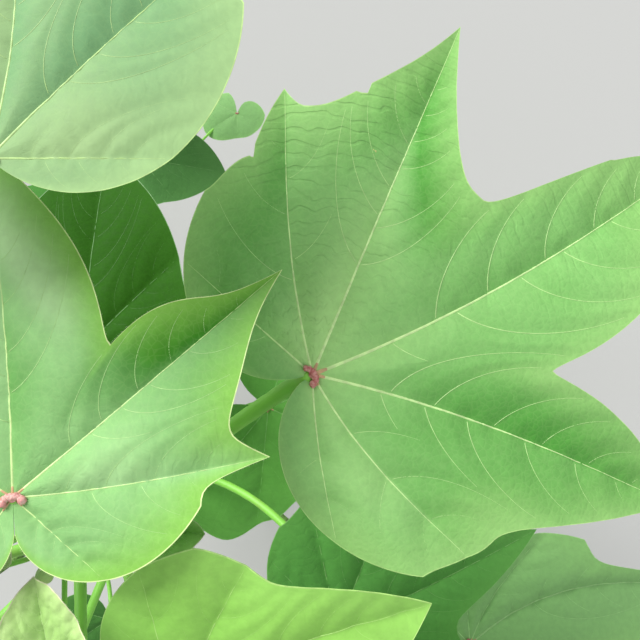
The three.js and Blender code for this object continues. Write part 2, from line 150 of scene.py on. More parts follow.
HAIR_ROOT = 0.96
CORKY_TO = 0.05


def stem_point(height):
    """The middle of the stem at a height over the ground."""
    s = height / STEM_HEIGHT
    east = STEM_WANDER * s * s * math.sin(STEM_BENDS[0] * s)
    north = STEM_WANDER * s * s * math.cos(STEM_BENDS[1] * s + 1)
    return Vector((east, north, height))


def stem_radius(height):
    """The stem's radius: a long taper, the flare of its foot and a swelling at each node."""
    s = height / STEM_HEIGHT
    taper = STEM_FOOT_RADIUS + (STEM_TIP_RADIUS - STEM_FOOT_RADIUS) * s
    flare = (FLARE_RADIUS - STEM_FOOT_RADIUS) * math.exp(-FLARE_FADE * height / FLARE_HEIGHT)
    swell = NODE_SWELL * max(0, math.cos(2 * math.pi * height / NODE_SPACING)) ** 3
    return taper + flare + (swell if height > FLARE_HEIGHT else 0)


def unit(rows):
    """The same directions, each of them one long."""
    return rows / np.linalg.norm(rows, axis=1)[:, None]


def crossways(points):
    """Two directions across a path at each of its points, turning as little as they can."""
    along = unit(np.gradient(points, axis=0))
    side = Vector(along[0]).orthogonal().normalized()
    sides = [side]
    for before, after in zip(along, along[1:]):
        side = Vector(before).rotation_difference(Vector(after)) @ side
        sides.append(side)
    sides = np.array([tuple(s) for s in sides])
    return sides, np.cross(along, sides)


def rolled_tube(bm, points, width, above, below, ways, sides, slot=0):
    """Adds a closed tube: a grid whose rows are rolled round the points of a path. width,
    above and below say how far each row reaches sideways, up and down; ways are the two
    directions for that."""
    made = bmesh.ops.create_grid(
        bm, x_segments=sides, y_segments=len(points) - 1, size=0.5, calc_uvs=True)["verts"]
    turn = np.linspace(0, 2 * math.pi, sides + 1)
    rise = np.where(np.sin(turn) > 0, above[:, None], below[:, None]) * np.sin(turn)
    reach = width[:, None] * np.cos(turn)
    across, upward = (np.broadcast_to(way, points.shape)[:, None] for way in ways)
    places = points[:, None] + across * reach[..., None] + upward * rise[..., None]
    for vert, place in zip(made, places.reshape(-1, 3)):
        vert.co = place
        for face in vert.link_faces:
            face.material_index = slot
    bmesh.ops.remove_doubles(bm, verts=made, dist=1e-7)


def round_tube(bm, points, radii, ways, sides):
    """Adds a closed tube with a round section, and turns all faces outwards."""
    rolled_tube(bm, points, radii, radii, radii, ways, sides)
    bmesh.ops.recalc_face_normals(bm, faces=bm.faces)


def round_ends(radii, rows):
    """Closes a tube: its first and last rows shrink to a point on a round profile."""
    shares = np.ones(len(radii))
    rise = np.sqrt(1 - (1 - np.arange(rows) / rows) ** 2)
    shares[:rows] = rise
    shares[-rows:] = rise[::-1]
    return radii * shares


def bark_grain(place):
    """The unevenness of bark at a place, from about -1 to 1."""
    return noise.fractal(place, 0.8, 2.1, 4)


class Skin:
    """A material in the making: its shader, and short ways to add and join nodes."""

    def __init__(self, name, colour, roughness=0.5):
        self.material = plain_material(name, colour, roughness)
        self.tree = self.material.node_tree
        self.shader = self.tree.nodes["Principled BSDF"]
        self.place = self.add("ShaderNodeTexCoord").outputs["Object"]

    def feed(self, node, sockets):
        """Gives sockets their values, or joins them to other nodes' outputs."""
        for key, value in sockets.items():
            if isinstance(value, bpy.types.NodeSocket):
                self.tree.links.new(value, node.inputs[key])
            else:
                node.inputs[key].default_value = value

    def add(self, kind, sockets=None, **settings):
        """A new node with its settings, and its sockets fed."""
        node = self.tree.nodes.new(kind)
        for key, value in settings.items():
            setattr(node, key, value)
        self.feed(node, sockets or {})
        return node

    def noise(self, place, scale, detail=3.0):
        """A noise over a place output, at a scale in waves a metre."""
        sockets = {"Vector": place, "Scale": scale, "Detail": detail}
        return self.add("ShaderNodeTexNoise", sockets).outputs["Fac"]

    def ramp(self, value, low, high, bottom=0.0, top=1.0):
        """A value mapped from low..high to bottom..top with soft ends."""
        sockets = {"Value": value, "From Min": low, "From Max": high, "To Min": bottom, "To Max": top}
        return self.add("ShaderNodeMapRange", sockets, interpolation_type="SMOOTHSTEP").outputs["Result"]

    def math(self, operation, *values, clamp=False):
        node = self.add("ShaderNodeMath", dict(enumerate(values)), operation=operation, use_clamp=clamp)
        return node.outputs["Value"]

    def blend(self, share, low, high, way="MIX"):
        """Two colours mixed by a share, or one multiplied by the other."""
        sockets = {"Factor": share, "A": low, "B": high}
        return self.add("ShaderNodeMix", sockets, data_type="RGBA", blend_type=way).outputs["Result"]

    def finish(self, colour, roughness=None, relief=None, strength=0.5, depth=0.0, invert=False):
        """Joins the colour, and where given the roughness and relief, and hands the material out."""
        self.feed(self.shader, {"Base Color": colour})
        if roughness:
            self.feed(self.shader, {"Roughness": roughness})
        if relief:
            sockets = {"Height": relief, "Strength": strength, "Distance": depth}
            bump = self.add("ShaderNodeBump", sockets, invert=invert)
            self.feed(self.shader, {"Normal": bump.outputs["Normal"]})
        return self.material


def wood_material(name, green, deep, foot=None):
    """Green wood: streaks along the shoot, dark gland dots, and a brown corky foot."""
    skin = Skin(name, green)
    drawn_out = skin.add("ShaderNodeMapping", {"Vector": skin.place, "Scale": DRAWN_OUT}).outputs["Vector"]
    streak = skin.noise(drawn_out, STREAK_SCALE)
    colour = skin.blend(skin.ramp(streak, 0.35, 0.7), green, deep)
    blush = skin.ramp(skin.noise(skin.place, BLUSH_SCALE), 0.55, 0.75, 0, 0.5)
    colour = skin.blend(blush, colour, STEM_RED)
    glands = skin.add("ShaderNodeTexVoronoi", {"Vector": skin.place, "Scale": GLAND_SCALE}, feature="F1")
    dot = skin.ramp(glands.outputs["Distance"], 0.12, 0.22, 0.8, 0)
    colour = skin.blend(dot, colour, GLAND_DARK)
    if foot:
        height = skin.add("ShaderNodeSeparateXYZ", {"Vector": skin.place}).outputs["Z"]
        uneven = skin.math("MULTIPLY_ADD", skin.noise(drawn_out, CORK_SCALE), -0.09, height)
        colour = skin.blend(skin.ramp(uneven, -0.03, foot, 1, 0), colour, BARK_BROWN)
    return skin.finish(colour, skin.ramp(streak, 0.3, 0.7, 0.45, 0.7), streak, 0.6, 0.0002)


def add_hairs(bm, roots, ways, length, draw, slot=0):
    """Adds fine hairs: slim closed spikes that stand on their roots, each leaning its own way."""
    for root, way in zip(roots, ways):
        lean = Vector([draw.uniform(-HAIR_LEAN, HAIR_LEAN) for _ in range(3)])
        course = (Vector(way) + lean).normalized()
        long = length * draw.uniform(*HAIR_LENGTHS)
        place = Matrix.Translation(Vector(root) + course * long * HAIR_SUNK)
        place @= Vector((0, 0, 1)).rotation_difference(course).to_matrix().to_4x4()
        made = bmesh.ops.create_cone(
            bm, cap_ends=True, segments=3, radius1=HAIR_RADIUS, radius2=0, depth=long, matrix=place,
            calc_uvs=True)["verts"]
        for face in made[0].link_faces[:] + made[1].link_faces[:]:
            face.material_index = slot


heights = np.linspace(0, STEM_HEIGHT, STEM_ROWS)
stem_line = np.array([tuple(stem_point(h)) for h in heights])
stem_radii = np.array([stem_radius(h) for h in heights])
stem_radii[-TIP_ROWS:] *= np.sqrt(1 - np.linspace(0, 1, TIP_ROWS) ** 2)
stem_line = np.vstack([stem_line[:1], stem_line])
stem_radii = np.concatenate([[0], stem_radii])
stem_bm = bmesh.new()
round_tube(stem_bm, stem_line, stem_radii, LEVEL, STEM_SIDES)
stem_bm.normal_update()
for vert in stem_bm.verts:
    out = vert.co - stem_point(min(max(vert.co.z, 0), STEM_HEIGHT))
    ridge = -RIDGE_DEPTH * out.length * (0.5 + 0.5 * math.cos(RIDGES * math.atan2(out.y, out.x)))
    rough = 0.25 + 0.75 * max(0, 1 - vert.co.z / BARK_HEIGHT)
    grain = bark_grain(Vector([c * waves for c, waves in zip(vert.co, BARK_WAVES)]))
    vert.co += vert.normal * (ridge + BARK_DEPTH * rough * grain)
    vert.co.z = max(vert.co.z, 0)
hair_draw = random.Random(HAIR_SEED)
hair_roots, hair_ways = [], []
for _ in range(STEM_HAIRS):
    hair_height = HAIRS_FROM + (STEM_HEIGHT - HAIRS_FROM) * hair_draw.random() ** 0.6
    turn = hair_draw.uniform(0, 2 * math.pi)
    way = Vector((math.cos(turn), math.sin(turn), 0.2))
    hair_ways.append(way)
    hair_roots.append(stem_point(hair_height) + way * stem_radius(hair_height) * HAIR_ROOT)
add_hairs(stem_bm, hair_roots, hair_ways, STEM_HAIR, hair_draw, slot=1)
hair_pale = plain_material("hair_pale", HAIR_PALE, 0.6)
stem_wood = wood_material("stem_wood", STEM_GREEN, STEM_DEEP, CORKY_TO)
stem = object_from(stem_bm, "stem_shoot", [stem_wood, hair_pale])
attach(stem, "root")
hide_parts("stem")


# The side boughs: three green shoots that spring from low nodes of the stem and rise as
# they leave it. Each is one tapering limb with a collar at its foot and a rounded tip.
BOUGH_SIDES = 28
BOUGH_ROWS = 150
BOUGH_END_ROWS = 6
BOUGH_GREEN = (0.13, 0.27, 0.04, 1)
BOUGH_DEEP = (0.075, 0.165, 0.025, 1)
BOUGH_WAVES = 700
BOUGH_BARK_SHARE = 0.4
COLLAR_SHARE = 0.45
COLLAR_FADE = 16
CURVE_STEPS = 60
BOUGHS = {
    "bough_back": {"at": 0.062, "foot": 0.0028, "tip": 0.0015, "route": [
        (-0.011, 0.048, 0.084), (-0.021, 0.100, 0.122), (-0.017, 0.144, 0.162)]},
    "bough_right": {"at": 0.112, "foot": 0.0027, "tip": 0.0015, "route": [
        (0.041, -0.029, 0.146), (0.080, -0.050, 0.190), (0.102, -0.059, 0.222)]},
    "bough_left": {"at": 0.088, "foot": 0.0026, "tip": 0.0014, "route": [
        (-0.040, -0.026, 0.108), (-0.084, -0.056, 0.144), (-0.104, -0.070, 0.168)]},
}


def passing(one, other, start, end, t):
    """Where a walk from one point, left at start, to another, reached at end, is at t."""
    return (end - t) / (end - start) * one + (t - start) / (end - start) * other


def centripetal_curve(route, count):
    """Points at even distances along the smooth curve through a route's points."""
    route = np.array(route, dtype=float)
    knots = np.vstack([2 * route[0] - route[1], route, 2 * route[-1] - route[-2]])
    dense = []
    for p0, p1, p2, p3 in zip(knots, knots[1:], knots[2:], knots[3:]):
        t0 = 0.0
        t1 = t0 + np.linalg.norm(p1 - p0) ** 0.5
        t2 = t1 + np.linalg.norm(p2 - p1) ** 0.5
        t3 = t2 + np.linalg.norm(p3 - p2) ** 0.5
        for t in np.linspace(t1, t2, CURVE_STEPS, endpoint=False):
            middle = passing(p1, p2, t1, t2, t)
            before = passing(passing(p0, p1, t0, t1, t), middle, t0, t2, t)
            after = passing(middle, passing(p2, p3, t2, t3, t), t1, t3, t)
            dense.append(passing(before, after, t1, t2, t))
    dense.append(route[-1])
    return evenly(np.array(dense), count)


def steps(points):
    """The lengths of a path's steps from point to point."""
    return np.linalg.norm(np.diff(points, axis=0), axis=1)


def distances(points):
    """How far along a path each of its points lies."""
    return np.concatenate([[0], np.cumsum(steps(points))])


def evenly(points, count):
    """The same path with its points at even distances."""
    gone = distances(points)
    wanted = np.linspace(0, gone[-1], count)
    return np.column_stack([np.interp(wanted, gone, column) for column in points.T])


bough_wood = wood_material("bough_wood", BOUGH_GREEN, BOUGH_DEEP)
bough_lines = {}
for name, bough in BOUGHS.items():
    line = centripetal_curve([tuple(stem_point(bough["at"]))] + bough["route"], BOUGH_ROWS)
    bough_lines[name] = line
    share = np.linspace(0, 1, BOUGH_ROWS)
    radii = bough["foot"] + (bough["tip"] - bough["foot"]) * share
    radii = round_ends(radii * (1 + COLLAR_SHARE * np.exp(-COLLAR_FADE * share)), BOUGH_END_ROWS)
    bough_bm = bmesh.new()
    round_tube(bough_bm, line, radii, crossways(line), BOUGH_SIDES)
    bough_bm.normal_update()
    for vert in bough_bm.verts:
        vert.co += vert.normal * BARK_DEPTH * BOUGH_BARK_SHARE * bark_grain(vert.co * BOUGH_WAVES)
    limb = object_from(bough_bm, name + "_shoot", [bough_wood])
    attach(limb, "root")
    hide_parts(name)


# The full-grown leaves. Each is a thin lobed blade on a long round petiole. Its main veins
# part at the petiole's end, in a red knob, and lie in valleys of the blade, with curved side
# veins between them. Blade, veins, pale margin, knob and petiole have grown as one piece.
FINE_CELL = 0.0015
COARSE_CELL = 0.0026
BLADE_SHARE = 0.0026
MARGIN_WIDTH = 0.00032
SHARP_EDGE = 60
BAY_ROUNDING = 0.12
BITE_ROUNDING = 0.8
EDGE_SAMPLES = 60
UNBEND_ROUNDS = 4
DRIP_POWER = 7
BEND_POWER = 1.3
PUFF_RISE = 1.2
PUFF_FADE = 0.5
EDGE_WAVES = 5
VALLEY_DEPTH = 0.0085
VALLEY_WIDTH = 0.032
CREASE_DEPTH = 0.0095
CREASE_WIDTH = 0.022
CREASE_ROUND = 0.006
NEAREST_VEINS = 4
CRINKLES = 5
VEIN_SHARE = 0.0042
VEIN_BASE = 0.00009
VEIN_RISE = (0.5, 0.7)
VEIN_SIDES = (8, 6)
VEIN_STEP = (1.1, 0.7)
VEIN_TAPER = 0.75
MAIN_ROWS = 90
MAIN_VEIN_END = 0.16
SIDE_VEIN_END = 0.35
SIDE_VEIN_SHARE = 0.36
SIDE_LEAN = (64, 74)
SIDE_PACE = (0.85, 1.2)
SIDE_STEP = 0.008
SIDE_STEPS = 80
QUICK_TURN = 9
SLOW_TURN = 45
QUICK_PART = 0.42
EDGE_TURN = 0.12
EDGE_POWER = 8
NEAR_EDGE = 0.96
FIRST_BRANCHES = ((0.2, 0.27), (0.26, 0.33))
BRANCH_SPACING = (0.1, 0.14)
LAST_BRANCH = 0.92
BEYOND_EDGE = 400
PAST_MIDDLE = 5
SMALL_REACH = 0.05
JOIN_GAP = 0.009
FREE_START = 6
KNOB_LUMPS = 9
LUMP_SIZES = (0.36, 0.5)
LUMP = {"uneven": 0.25, "waves": 1900, "flat": 0.8}
CORE = {"uneven": 0.2, "waves": 1500, "flat": 0.6}
CORE_SIZE = 0.5
KNOB_BOW = 100
KNOB_NEAR = 0.3
KNOB_FAR = 1.05
KNOB_BACK = 0.25
KNOB_COLLAR = 1.7
COLLAR_ROWS = 10
COLLAR_RISE = 0.62
COLLAR_SIDES = 10
EDGE_HAIR = 0.0008
EDGE_HAIR_STEP = 0.00055
EDGE_HAIR_RISE = 0.3
EDGE_INSET = 0.995
INNER_HAIR = 0.7
SCAR_THICK = 0.00018
PETIOLE_SHARE = 0.013
PETIOLE_BASE = 0.00045
PETIOLE_SIDES = 16
PETIOLE_END_ROWS = 4
PETIOLE_FOOT = (0.35, 14)
PETIOLE_HEAD = (0.12, 30)
PETIOLE_UNEVEN = 0.07
PETIOLE_WAVES = 420
PETIOLE_STEP = 0.0016
PETIOLE_OUT = (0.8, 0.6, 0.36)
PETIOLE_RISE = (0.62, 0.78, 0.26)
FOOT_OUT = 0.9
STIPULE_BASE = 0.003
STIPULE_SHARE = 0.045
STIPULE_WIDTH = 0.16
STIPULE_THICK = 0.00016
STIPULE_ROWS = 14
STIPULE_SIDES = 8
STIPULE_LEAN = (0.5, 0.8)
STIPULE_CURL = (0.1, 0.3)
SHOOT_SHARE = (1.6, 2.4)
SHOOT_PLUMP = 0.62
SHOOT_SIDES = 10
POLAR_SCALE = 0.05
FOOT_REACH = 0.95
TOP_MAP = (0.0, 0.6)
UNDER_MAP = (0.62, 0.37)
PETIOLE_MAP = (0.01, 0.63, 0.58, 0.35)
VEIN_MAP = (0.63, 0.39, 0.36, 0.2)
KNOB_MAP = (0.63, 0.63, 0.36, 0.36)
HAIR_MAP = (0.63, 0.61, 0.01, 0.01)
MOTTLE_SCALE = 22
GRAIN_SCALE = 420
NET_SCALE = 560
PATCH_SCALE = 75
WRINKLE_SCALE = 82
WRINKLE_DEPTH = 0.0003
UNDER_SHINE = 0.12
REDNESS_SCALE = 60
STALK_GRAIN = 1500
STALK_GRAIN_DEPTH = 0.00015
THIN_PATCH = 380
KNOB_PATCH = 900


def tip(angle, share, inner=1.8, outer=None, drip=0):
    """The point of a lobe. inner and outer tell how hollow its two edges are."""
    outer = inner if outer is None else outer
    return {"angle": angle, "share": share, "form": "tip", "inner": inner, "outer": outer, "drip": drip}


def low(angle, share):
    """The bottom of a bay between two lobes, or a round shoulder."""
    return {"angle": angle, "share": share, "form": "low"}


def notch(angle, share, wrap):
    """The edge of the gap in which the petiole lies."""
    return {"angle": angle, "share": share, "form": "notch", "wrap": wrap}


# Outlines run from the middle lobe round to the petiole's gap. Angles are degrees from the
# middle lobe, and distances are shares of its length. A vein has the angle of its end and
# how many degrees its start is turned from that.
LOBED_SIDE = [tip(0, 1, 1.4), low(30, 0.62), tip(46, 0.78, 1.5, 1.3), low(66, 0.6), low(92, 0.62),
              notch(166, 0.08, 0.65)]
PALMATE_SIDE = [tip(0, 1, 1.5), low(23, 0.52), tip(44, 0.82, 1.7, 1.4), low(66, 0.54),
                tip(80, 0.58, 1.5), low(98, 0.5), notch(170, 0.05, 0.85)]
HEART_SIDE = [tip(0, 1, 1.25), low(60, 0.57), low(95, 0.52), notch(165, 0.08, 0.65)]
OUTLINES = {
    "great": {
        "left": [tip(0, 1, 0.75), tip(6.7, 0.788, 1.8), low(17.9, 0.49), tip(37.7, 0.803, 1.85, 1.5, 0.24),
                 low(62, 0.533), tip(66.8, 0.575, 2, 0.95), low(78, 0.444), low(92, 0.412),
                 notch(165, 0.03, 0.82)],
        "right": [tip(0, 1, 0.7), low(27.8, 0.482), tip(48, 0.82, 0.79, 1.55), low(72, 0.484),
                  low(90, 0.444), notch(174, 0.03, 1.17)],
        "veins": [(-110.5, -7), (-78, -12), (-48, 7), (0, -8), (37.7, 1.2), (66.8, 9.5), (110, 0)],
        "branches": [([0.5, 0.75], [0.5]), ([0.3, 0.55, 0.78], [0.53, 0.76]),
                     ([0.2, 0.31, 0.47, 0.6, 0.74, 0.87], [0.17, 0.29, 0.4, 0.56, 0.7, 0.83]),
                     ([0.27, 0.4, 0.54, 0.68, 0.8, 0.9], [0.17, 0.325, 0.475, 0.592, 0.72, 0.85]),
                     ([0.295, 0.437, 0.51, 0.63, 0.76, 0.88], [0.302, 0.403, 0.572, 0.644, 0.72, 0.8, 0.9]),
                     ([0.33, 0.56, 0.78], [0.4, 0.68]), ([0.35, 0.65], [0.45, 0.75])]},
    "crested": {
        "left": [tip(0, 1, 0.9, 0.9, 0.12), low(34, 0.5), tip(52, 0.92, 0.9, 1.2, 0.25),
                 low(76, 0.6), tip(86, 0.68, 1.3), low(96, 0.56), notch(179.2, 0.1, 0.85)],
        "right": [tip(0, 1, 0.9, 0.9, 0.12), low(39.6, 0.49), tip(56, 0.96, 0.43, 1.15, 0.32),
                  low(80, 0.62), tip(88, 0.705, 1.5, 2.9), low(99, 0.517), notch(179.2, 0.1, 0.88)],
        "veins": [(-137, 0), (-88, -5), (-56, -1.5), (0, -5), (52, 0), (86, 0), (137, 0)]},
    "open_foot": {
        "left": [tip(0, 1, 1.3), low(25, 0.68), tip(45, 0.93, 1.4), low(58, 0.74), notch(130, 0.04, 0.85)],
        "right": [tip(0, 1, 1.3), low(25, 0.68), tip(44, 0.93, 1.4, 1.6), low(58, 0.75),
                  notch(130, 0.04, 0.85)],
        "veins": [(-92, 0), (-45, 0), (0, -16), (45, 0), (92, 0)]},
    "palmate": {
        "left": [tip(0, 1, 1.5), low(24, 0.52), tip(45, 0.8, 1.7, 1.4), low(66, 0.53),
                 tip(80, 0.57, 1.5), low(98, 0.5), notch(170, 0.05, 0.85)],
        "right": PALMATE_SIDE,
        "veins": [(-112, 0), (-80, 0), (-44, 0), (0, 0), (45, 0), (80, 0), (112, 0)]},
    "smooth_side": {
        "left": [tip(0, 1, 1.5), low(22, 0.55), tip(46, 0.765, 1.6, 1.25), low(81, 0.497),
                 low(104, 0.537), notch(174, 0.1, 0.63)],
        "right": [tip(0, 1, 1.5), low(24, 0.55), tip(45, 0.8, 1.6, 1.6), low(68, 0.52),
                  low(90, 0.4), notch(136, 0.06, 0.9)],
        "veins": [(-100, 0), (-76, 0), (-45, 0), (0, 0), (46, 22), (88, 8), (122, 0)]},
    "low_shoulder": {
        "left": [tip(0, 1, 1.6), low(25.5, 0.565), tip(31, 0.574, 1, 1.15), low(66, 0.4),
                 low(98, 0.42), notch(170, 0.05, 0.85)],
        "right": PALMATE_SIDE,
        "veins": [(-112, 0), (-80, 0), (-44, 0), (0, 34), (45, 18), (86, 0), (124, 0)]},
    "round_foot": {
        "left": LOBED_SIDE,
        "right": [tip(0, 1, 1.4), low(46, 0.5), low(64, 0.585), low(84, 0.715),
                  low(108, 0.68), notch(166, 0.08, 0.65)],
        "veins": [(-104, 0), (-70, 0), (0, 0), (46, 0), (96, 0)]},
    "cleft": {
        "left": [low(0, 0.82), low(30, 0.865), low(86, 0.935), notch(152, 0.15, 0.45)],
        "right": [low(0, 0.82), low(64, 1.24), tip(160, 0.76, 1, 1), notch(174, 0.12, 0.5)],
        "veins": [(-118, 0), (-62, 0), (0, 0), (60, 0)]},
    "three_lobed": {
        "left": LOBED_SIDE,
        "right": [tip(0, 1, 1.4), low(46, 0.5), tip(64, 0.69, 1.2, 1), low(76, 0.66),
                  low(100, 0.66), notch(166, 0.08, 0.65)],
        "veins": [(-104, 0), (-64, 0), (0, 0), (46, 0), (96, 0)]},
    "heart": {
        "left": HEART_SIDE, "right": HEART_SIDE,
        "veins": [(-90, 0), (-42, 0), (0, 0), (42, 0), (90, 0)]},
}


def spot(far, turn):
    """Places in a blade's plane, from their distances and their angles in radians."""
    return np.column_stack([far * np.cos(turn), far * np.sin(turn)])


def climb(u, hollow, drip):
    """How an edge climbs from the round bottom of a bay (0) to a lobe's point (1)."""
    r = BAY_ROUNDING
    u = (np.hypot(u, r) - r) / (math.hypot(1, r) - r)
    return (1 - drip) * u ** hollow + drip * u ** DRIP_POWER


def side_shares(side, angles):
    """Distance of one side's edge at each angle, as a share of the leaf's reach."""
    shares = np.full(len(angles), side[-1]["share"])
    for near, far in zip(side, side[1:]):
        s = np.clip((angles - near["angle"]) / (far["angle"] - near["angle"]), 0, 1)
        span = far["share"] - near["share"]
        if far["form"] == "notch":
            value = far["share"] - span * (1 - s) ** far["wrap"]
        elif near["form"] == "tip":
            value = far["share"] - span * climb(1 - s, near["outer"], near["drip"])
        elif far["form"] == "tip":
            value = near["share"] + span * climb(s, far["inner"], far["drip"])
        else:
            value = near["share"] + span * s * s * (3 - 2 * s)
        here = (angles >= near["angle"]) & (angles <= far["angle"])
        shares[here] = value[here]
    return shares


def edge_shares(leaf, angles):
    """Distance of the edge at angles from the middle lobe, left ones above nought."""
    left = side_shares(leaf["shape"]["left"], np.abs(angles))
    right = side_shares(leaf["shape"]["right"], np.abs(angles))
    shares = np.where(angles < 0, right, left)
    for middle, half, depth, lean in leaf["bites"]:
        place = (angles - middle) / half
        shape = np.where(place < lean, (1 + place) / (1 + lean), (1 - place) / (1 - lean))
        shares = shares - depth * np.clip(shape, 0, 1) ** BITE_ROUNDING
    return shares


def edge_line(leaf, angles):
    """The edge's places in the blade's plane."""
    return spot(edge_shares(leaf, angles) * leaf["reach"], np.radians(angles))


def vein_turn(leaf, angles):
    """How many degrees the blade's middle is turned at each angle, as its veins are bent."""
    shape = leaf["shape"]
    ends = [(-shape["right"][-1]["angle"], 0)] + shape["veins"] + [(shape["left"][-1]["angle"], 0)]
    return np.interp(angles, *zip(*ends))


def column_angles(leaf):
    """The angles of the blade's rows of corners: one on every vein, point and bay, and the
    rest at even distances along the edge."""
    shape = leaf["shape"]
    marks = {-f["angle"] for f in shape["right"]} | {f["angle"] for f in shape["left"]}
    marks |= {end for end, bend in shape["veins"]}
    for middle, half, depth, lean in leaf["bites"]:
        marks |= {middle - half, middle + lean * half, middle + half}
    marks = sorted(marks)
    columns = []
    for start, end in zip(marks, marks[1:]):
        fine = np.linspace(start, end, EDGE_SAMPLES)
        gone = distances(edge_line(leaf, fine))
        count = max(2, round(gone[-1] / leaf["cell"]))
        columns.extend(np.interp(np.linspace(0, gone[-1], count + 1)[:-1], gone, fine))
    columns.append(marks[-1])
    return np.array(columns)


def unbent(leaf, x, y):
    """The blade's own angle and the share of the way to the edge, for places on it."""
    seen = np.degrees(np.arctan2(y, x))
    far = np.hypot(x, y) / leaf["reach"]
    angles = seen
    for _ in range(UNBEND_ROUNDS):
        share = np.clip(far / edge_shares(leaf, angles), 0, 1)
        angles = seen - vein_turn(leaf, angles) * (1 - share) ** BEND_POWER
    return angles, share


def sector_crown(leaf, angles):
    """How far places lie between two main veins: 0 on a vein and 1 midway."""
    ends = [end for end, bend in leaf["shape"]["veins"]]
    crown = np.zeros(len(angles))
    for start, end in zip(ends, ends[1:]):
        here = (angles >= start) & (angles <= end)
        crown[here] = np.sin(np.pi * (angles[here] - start) / (end - start))
    return crown


def blade_height(leaf, x, y, angles):
    """Height of the blade over its own plane: it lifts from the petiole, bends down to its
    points, folds up along the middle when young, and puffs up between its main veins."""
    t = np.hypot(x, y) / leaf["reach"]
    a = np.radians(angles)
    height = leaf["lift"] * t - leaf["droop"] * t * t + leaf["fold"] * t * np.abs(np.sin(a))
    height += leaf["puff"] * t * (PUFF_RISE - PUFF_FADE * t) * sector_crown(leaf, angles)
    height += leaf["wave"] * t * t * np.sin(EDGE_WAVES * a + leaf["heading"])
    return leaf["reach"] * height


def painted_shade_on_blade(leaf, angles, share):
    """How far places lean to the leaf's deep colour as painted shade (above nought) or its light one
    as painted light. A patch starts at a vein and fades towards another angle, about a share of the way out."""
    tone = np.zeros(len(angles))
    for start, end, middle, half, amount in leaf["tones"]:
        turn = (angles - start) / (end - start)
        across = np.where(turn >= -0.001, np.clip(1 - turn, 0, 1), 0)
        out = np.clip(1 - np.abs(share - middle) / half, 0, 1)
        tone += amount * across * across * (3 - 2 * across) * out * out * (3 - 2 * out)
    return np.clip(tone, -1, 1)


def blade_wrinkles(leaf, angles):
    """How strongly the cross wrinkles show at each angle: fully at one and fading from it."""
    middle, half, least = leaf["wrinkled"]
    return least + (1 - least) * np.clip(1 - ((angles - middle) / half) ** 2, 0, 1)


def main_vein(leaf, end, bend):
    """The path of a main vein in the blade's plane, from the petiole's end to the edge."""
    share = np.linspace(0, 1, MAIN_ROWS)
    far = share * edge_shares(leaf, np.array([end]))[0] * leaf["reach"]
    return spot(far, np.radians(end + bend * (1 - share) ** BEND_POWER))


def side_veins(leaf, starts, draw):
    """The paths of a blade's side veins. Each leaves its main vein at a wide angle and bends
    towards the tip, till it comes near the edge or past the middle of its sector."""
    mains, ats, sides, middles = zip(*starts)
    sides = np.array(sides)
    place = np.array([main[at] for main, at in zip(mains, ats)])
    along = np.array([main[min(at + 1, len(main) - 1)] - main[at - 1] for main, at in zip(mains, ats)])
    ahead = np.arctan2(along[:, 1], along[:, 0])
    first_lean = np.radians([draw.uniform(*SIDE_LEAN) for _ in starts]) * sides
    pace = np.array([draw.uniform(*SIDE_PACE) for _ in starts])
    turned = np.zeros(len(starts))
    track = [place]
    ends = np.full(len(starts), SIDE_STEPS)
    for k in range(SIDE_STEPS):
        quick = QUICK_PART * np.exp(-turned / QUICK_TURN)
        slow = (1 - QUICK_PART) * np.exp(-turned / SLOW_TURN)
        place = place + spot(leaf["reach"] * SIDE_STEP, ahead + first_lean * (quick + slow))
        angles, share = unbent(leaf, place[:, 0], place[:, 1])
        over = (share > NEAR_EDGE) | ((angles - middles) * sides > 0)
        ends = np.where(over & (ends > k), k, ends)
        track.append(place)
        turned += pace * (1 + EDGE_TURN * SLOW_TURN * share ** EDGE_POWER)
    track = np.array(track)
    return [track[:end + 1, k] for k, end in enumerate(ends)]


def parted(tracks, sectors, gap):
    """Side veins cut off where they come up to an earlier one of their sector, so none cross."""
    kept = []
    for track, sector in zip(tracks, sectors):
        for other, its_sector in kept:
            if its_sector == sector and len(track) > FREE_START:
                apart = np.linalg.norm(track[FREE_START:, None] - other[None], axis=2).min(axis=1)
                met = np.flatnonzero(apart < gap)
                if len(met):
                    track = track[:FREE_START + met[0] + 1]
        kept.append((track, sector))
    return [track for track, sector in kept]


def branch_starts(leaf, number, length, draw):
    """Where side veins leave a main vein, on its left and on its right, as shares of it."""
    known = leaf["shape"].get("branches")
    if known:
        return known[number]
    both = []
    for first in [draw.uniform(*bounds) for bounds in FIRST_BRANCHES]:
        starts = []
        while first < LAST_BRANCH:
            starts.append(first)
            sparse = 1 if leaf["reach"] > SMALL_REACH else 1.5
            first += draw.uniform(*BRANCH_SPACING) / max(0.6, length) * sparse
        both.append(starts)
    return both


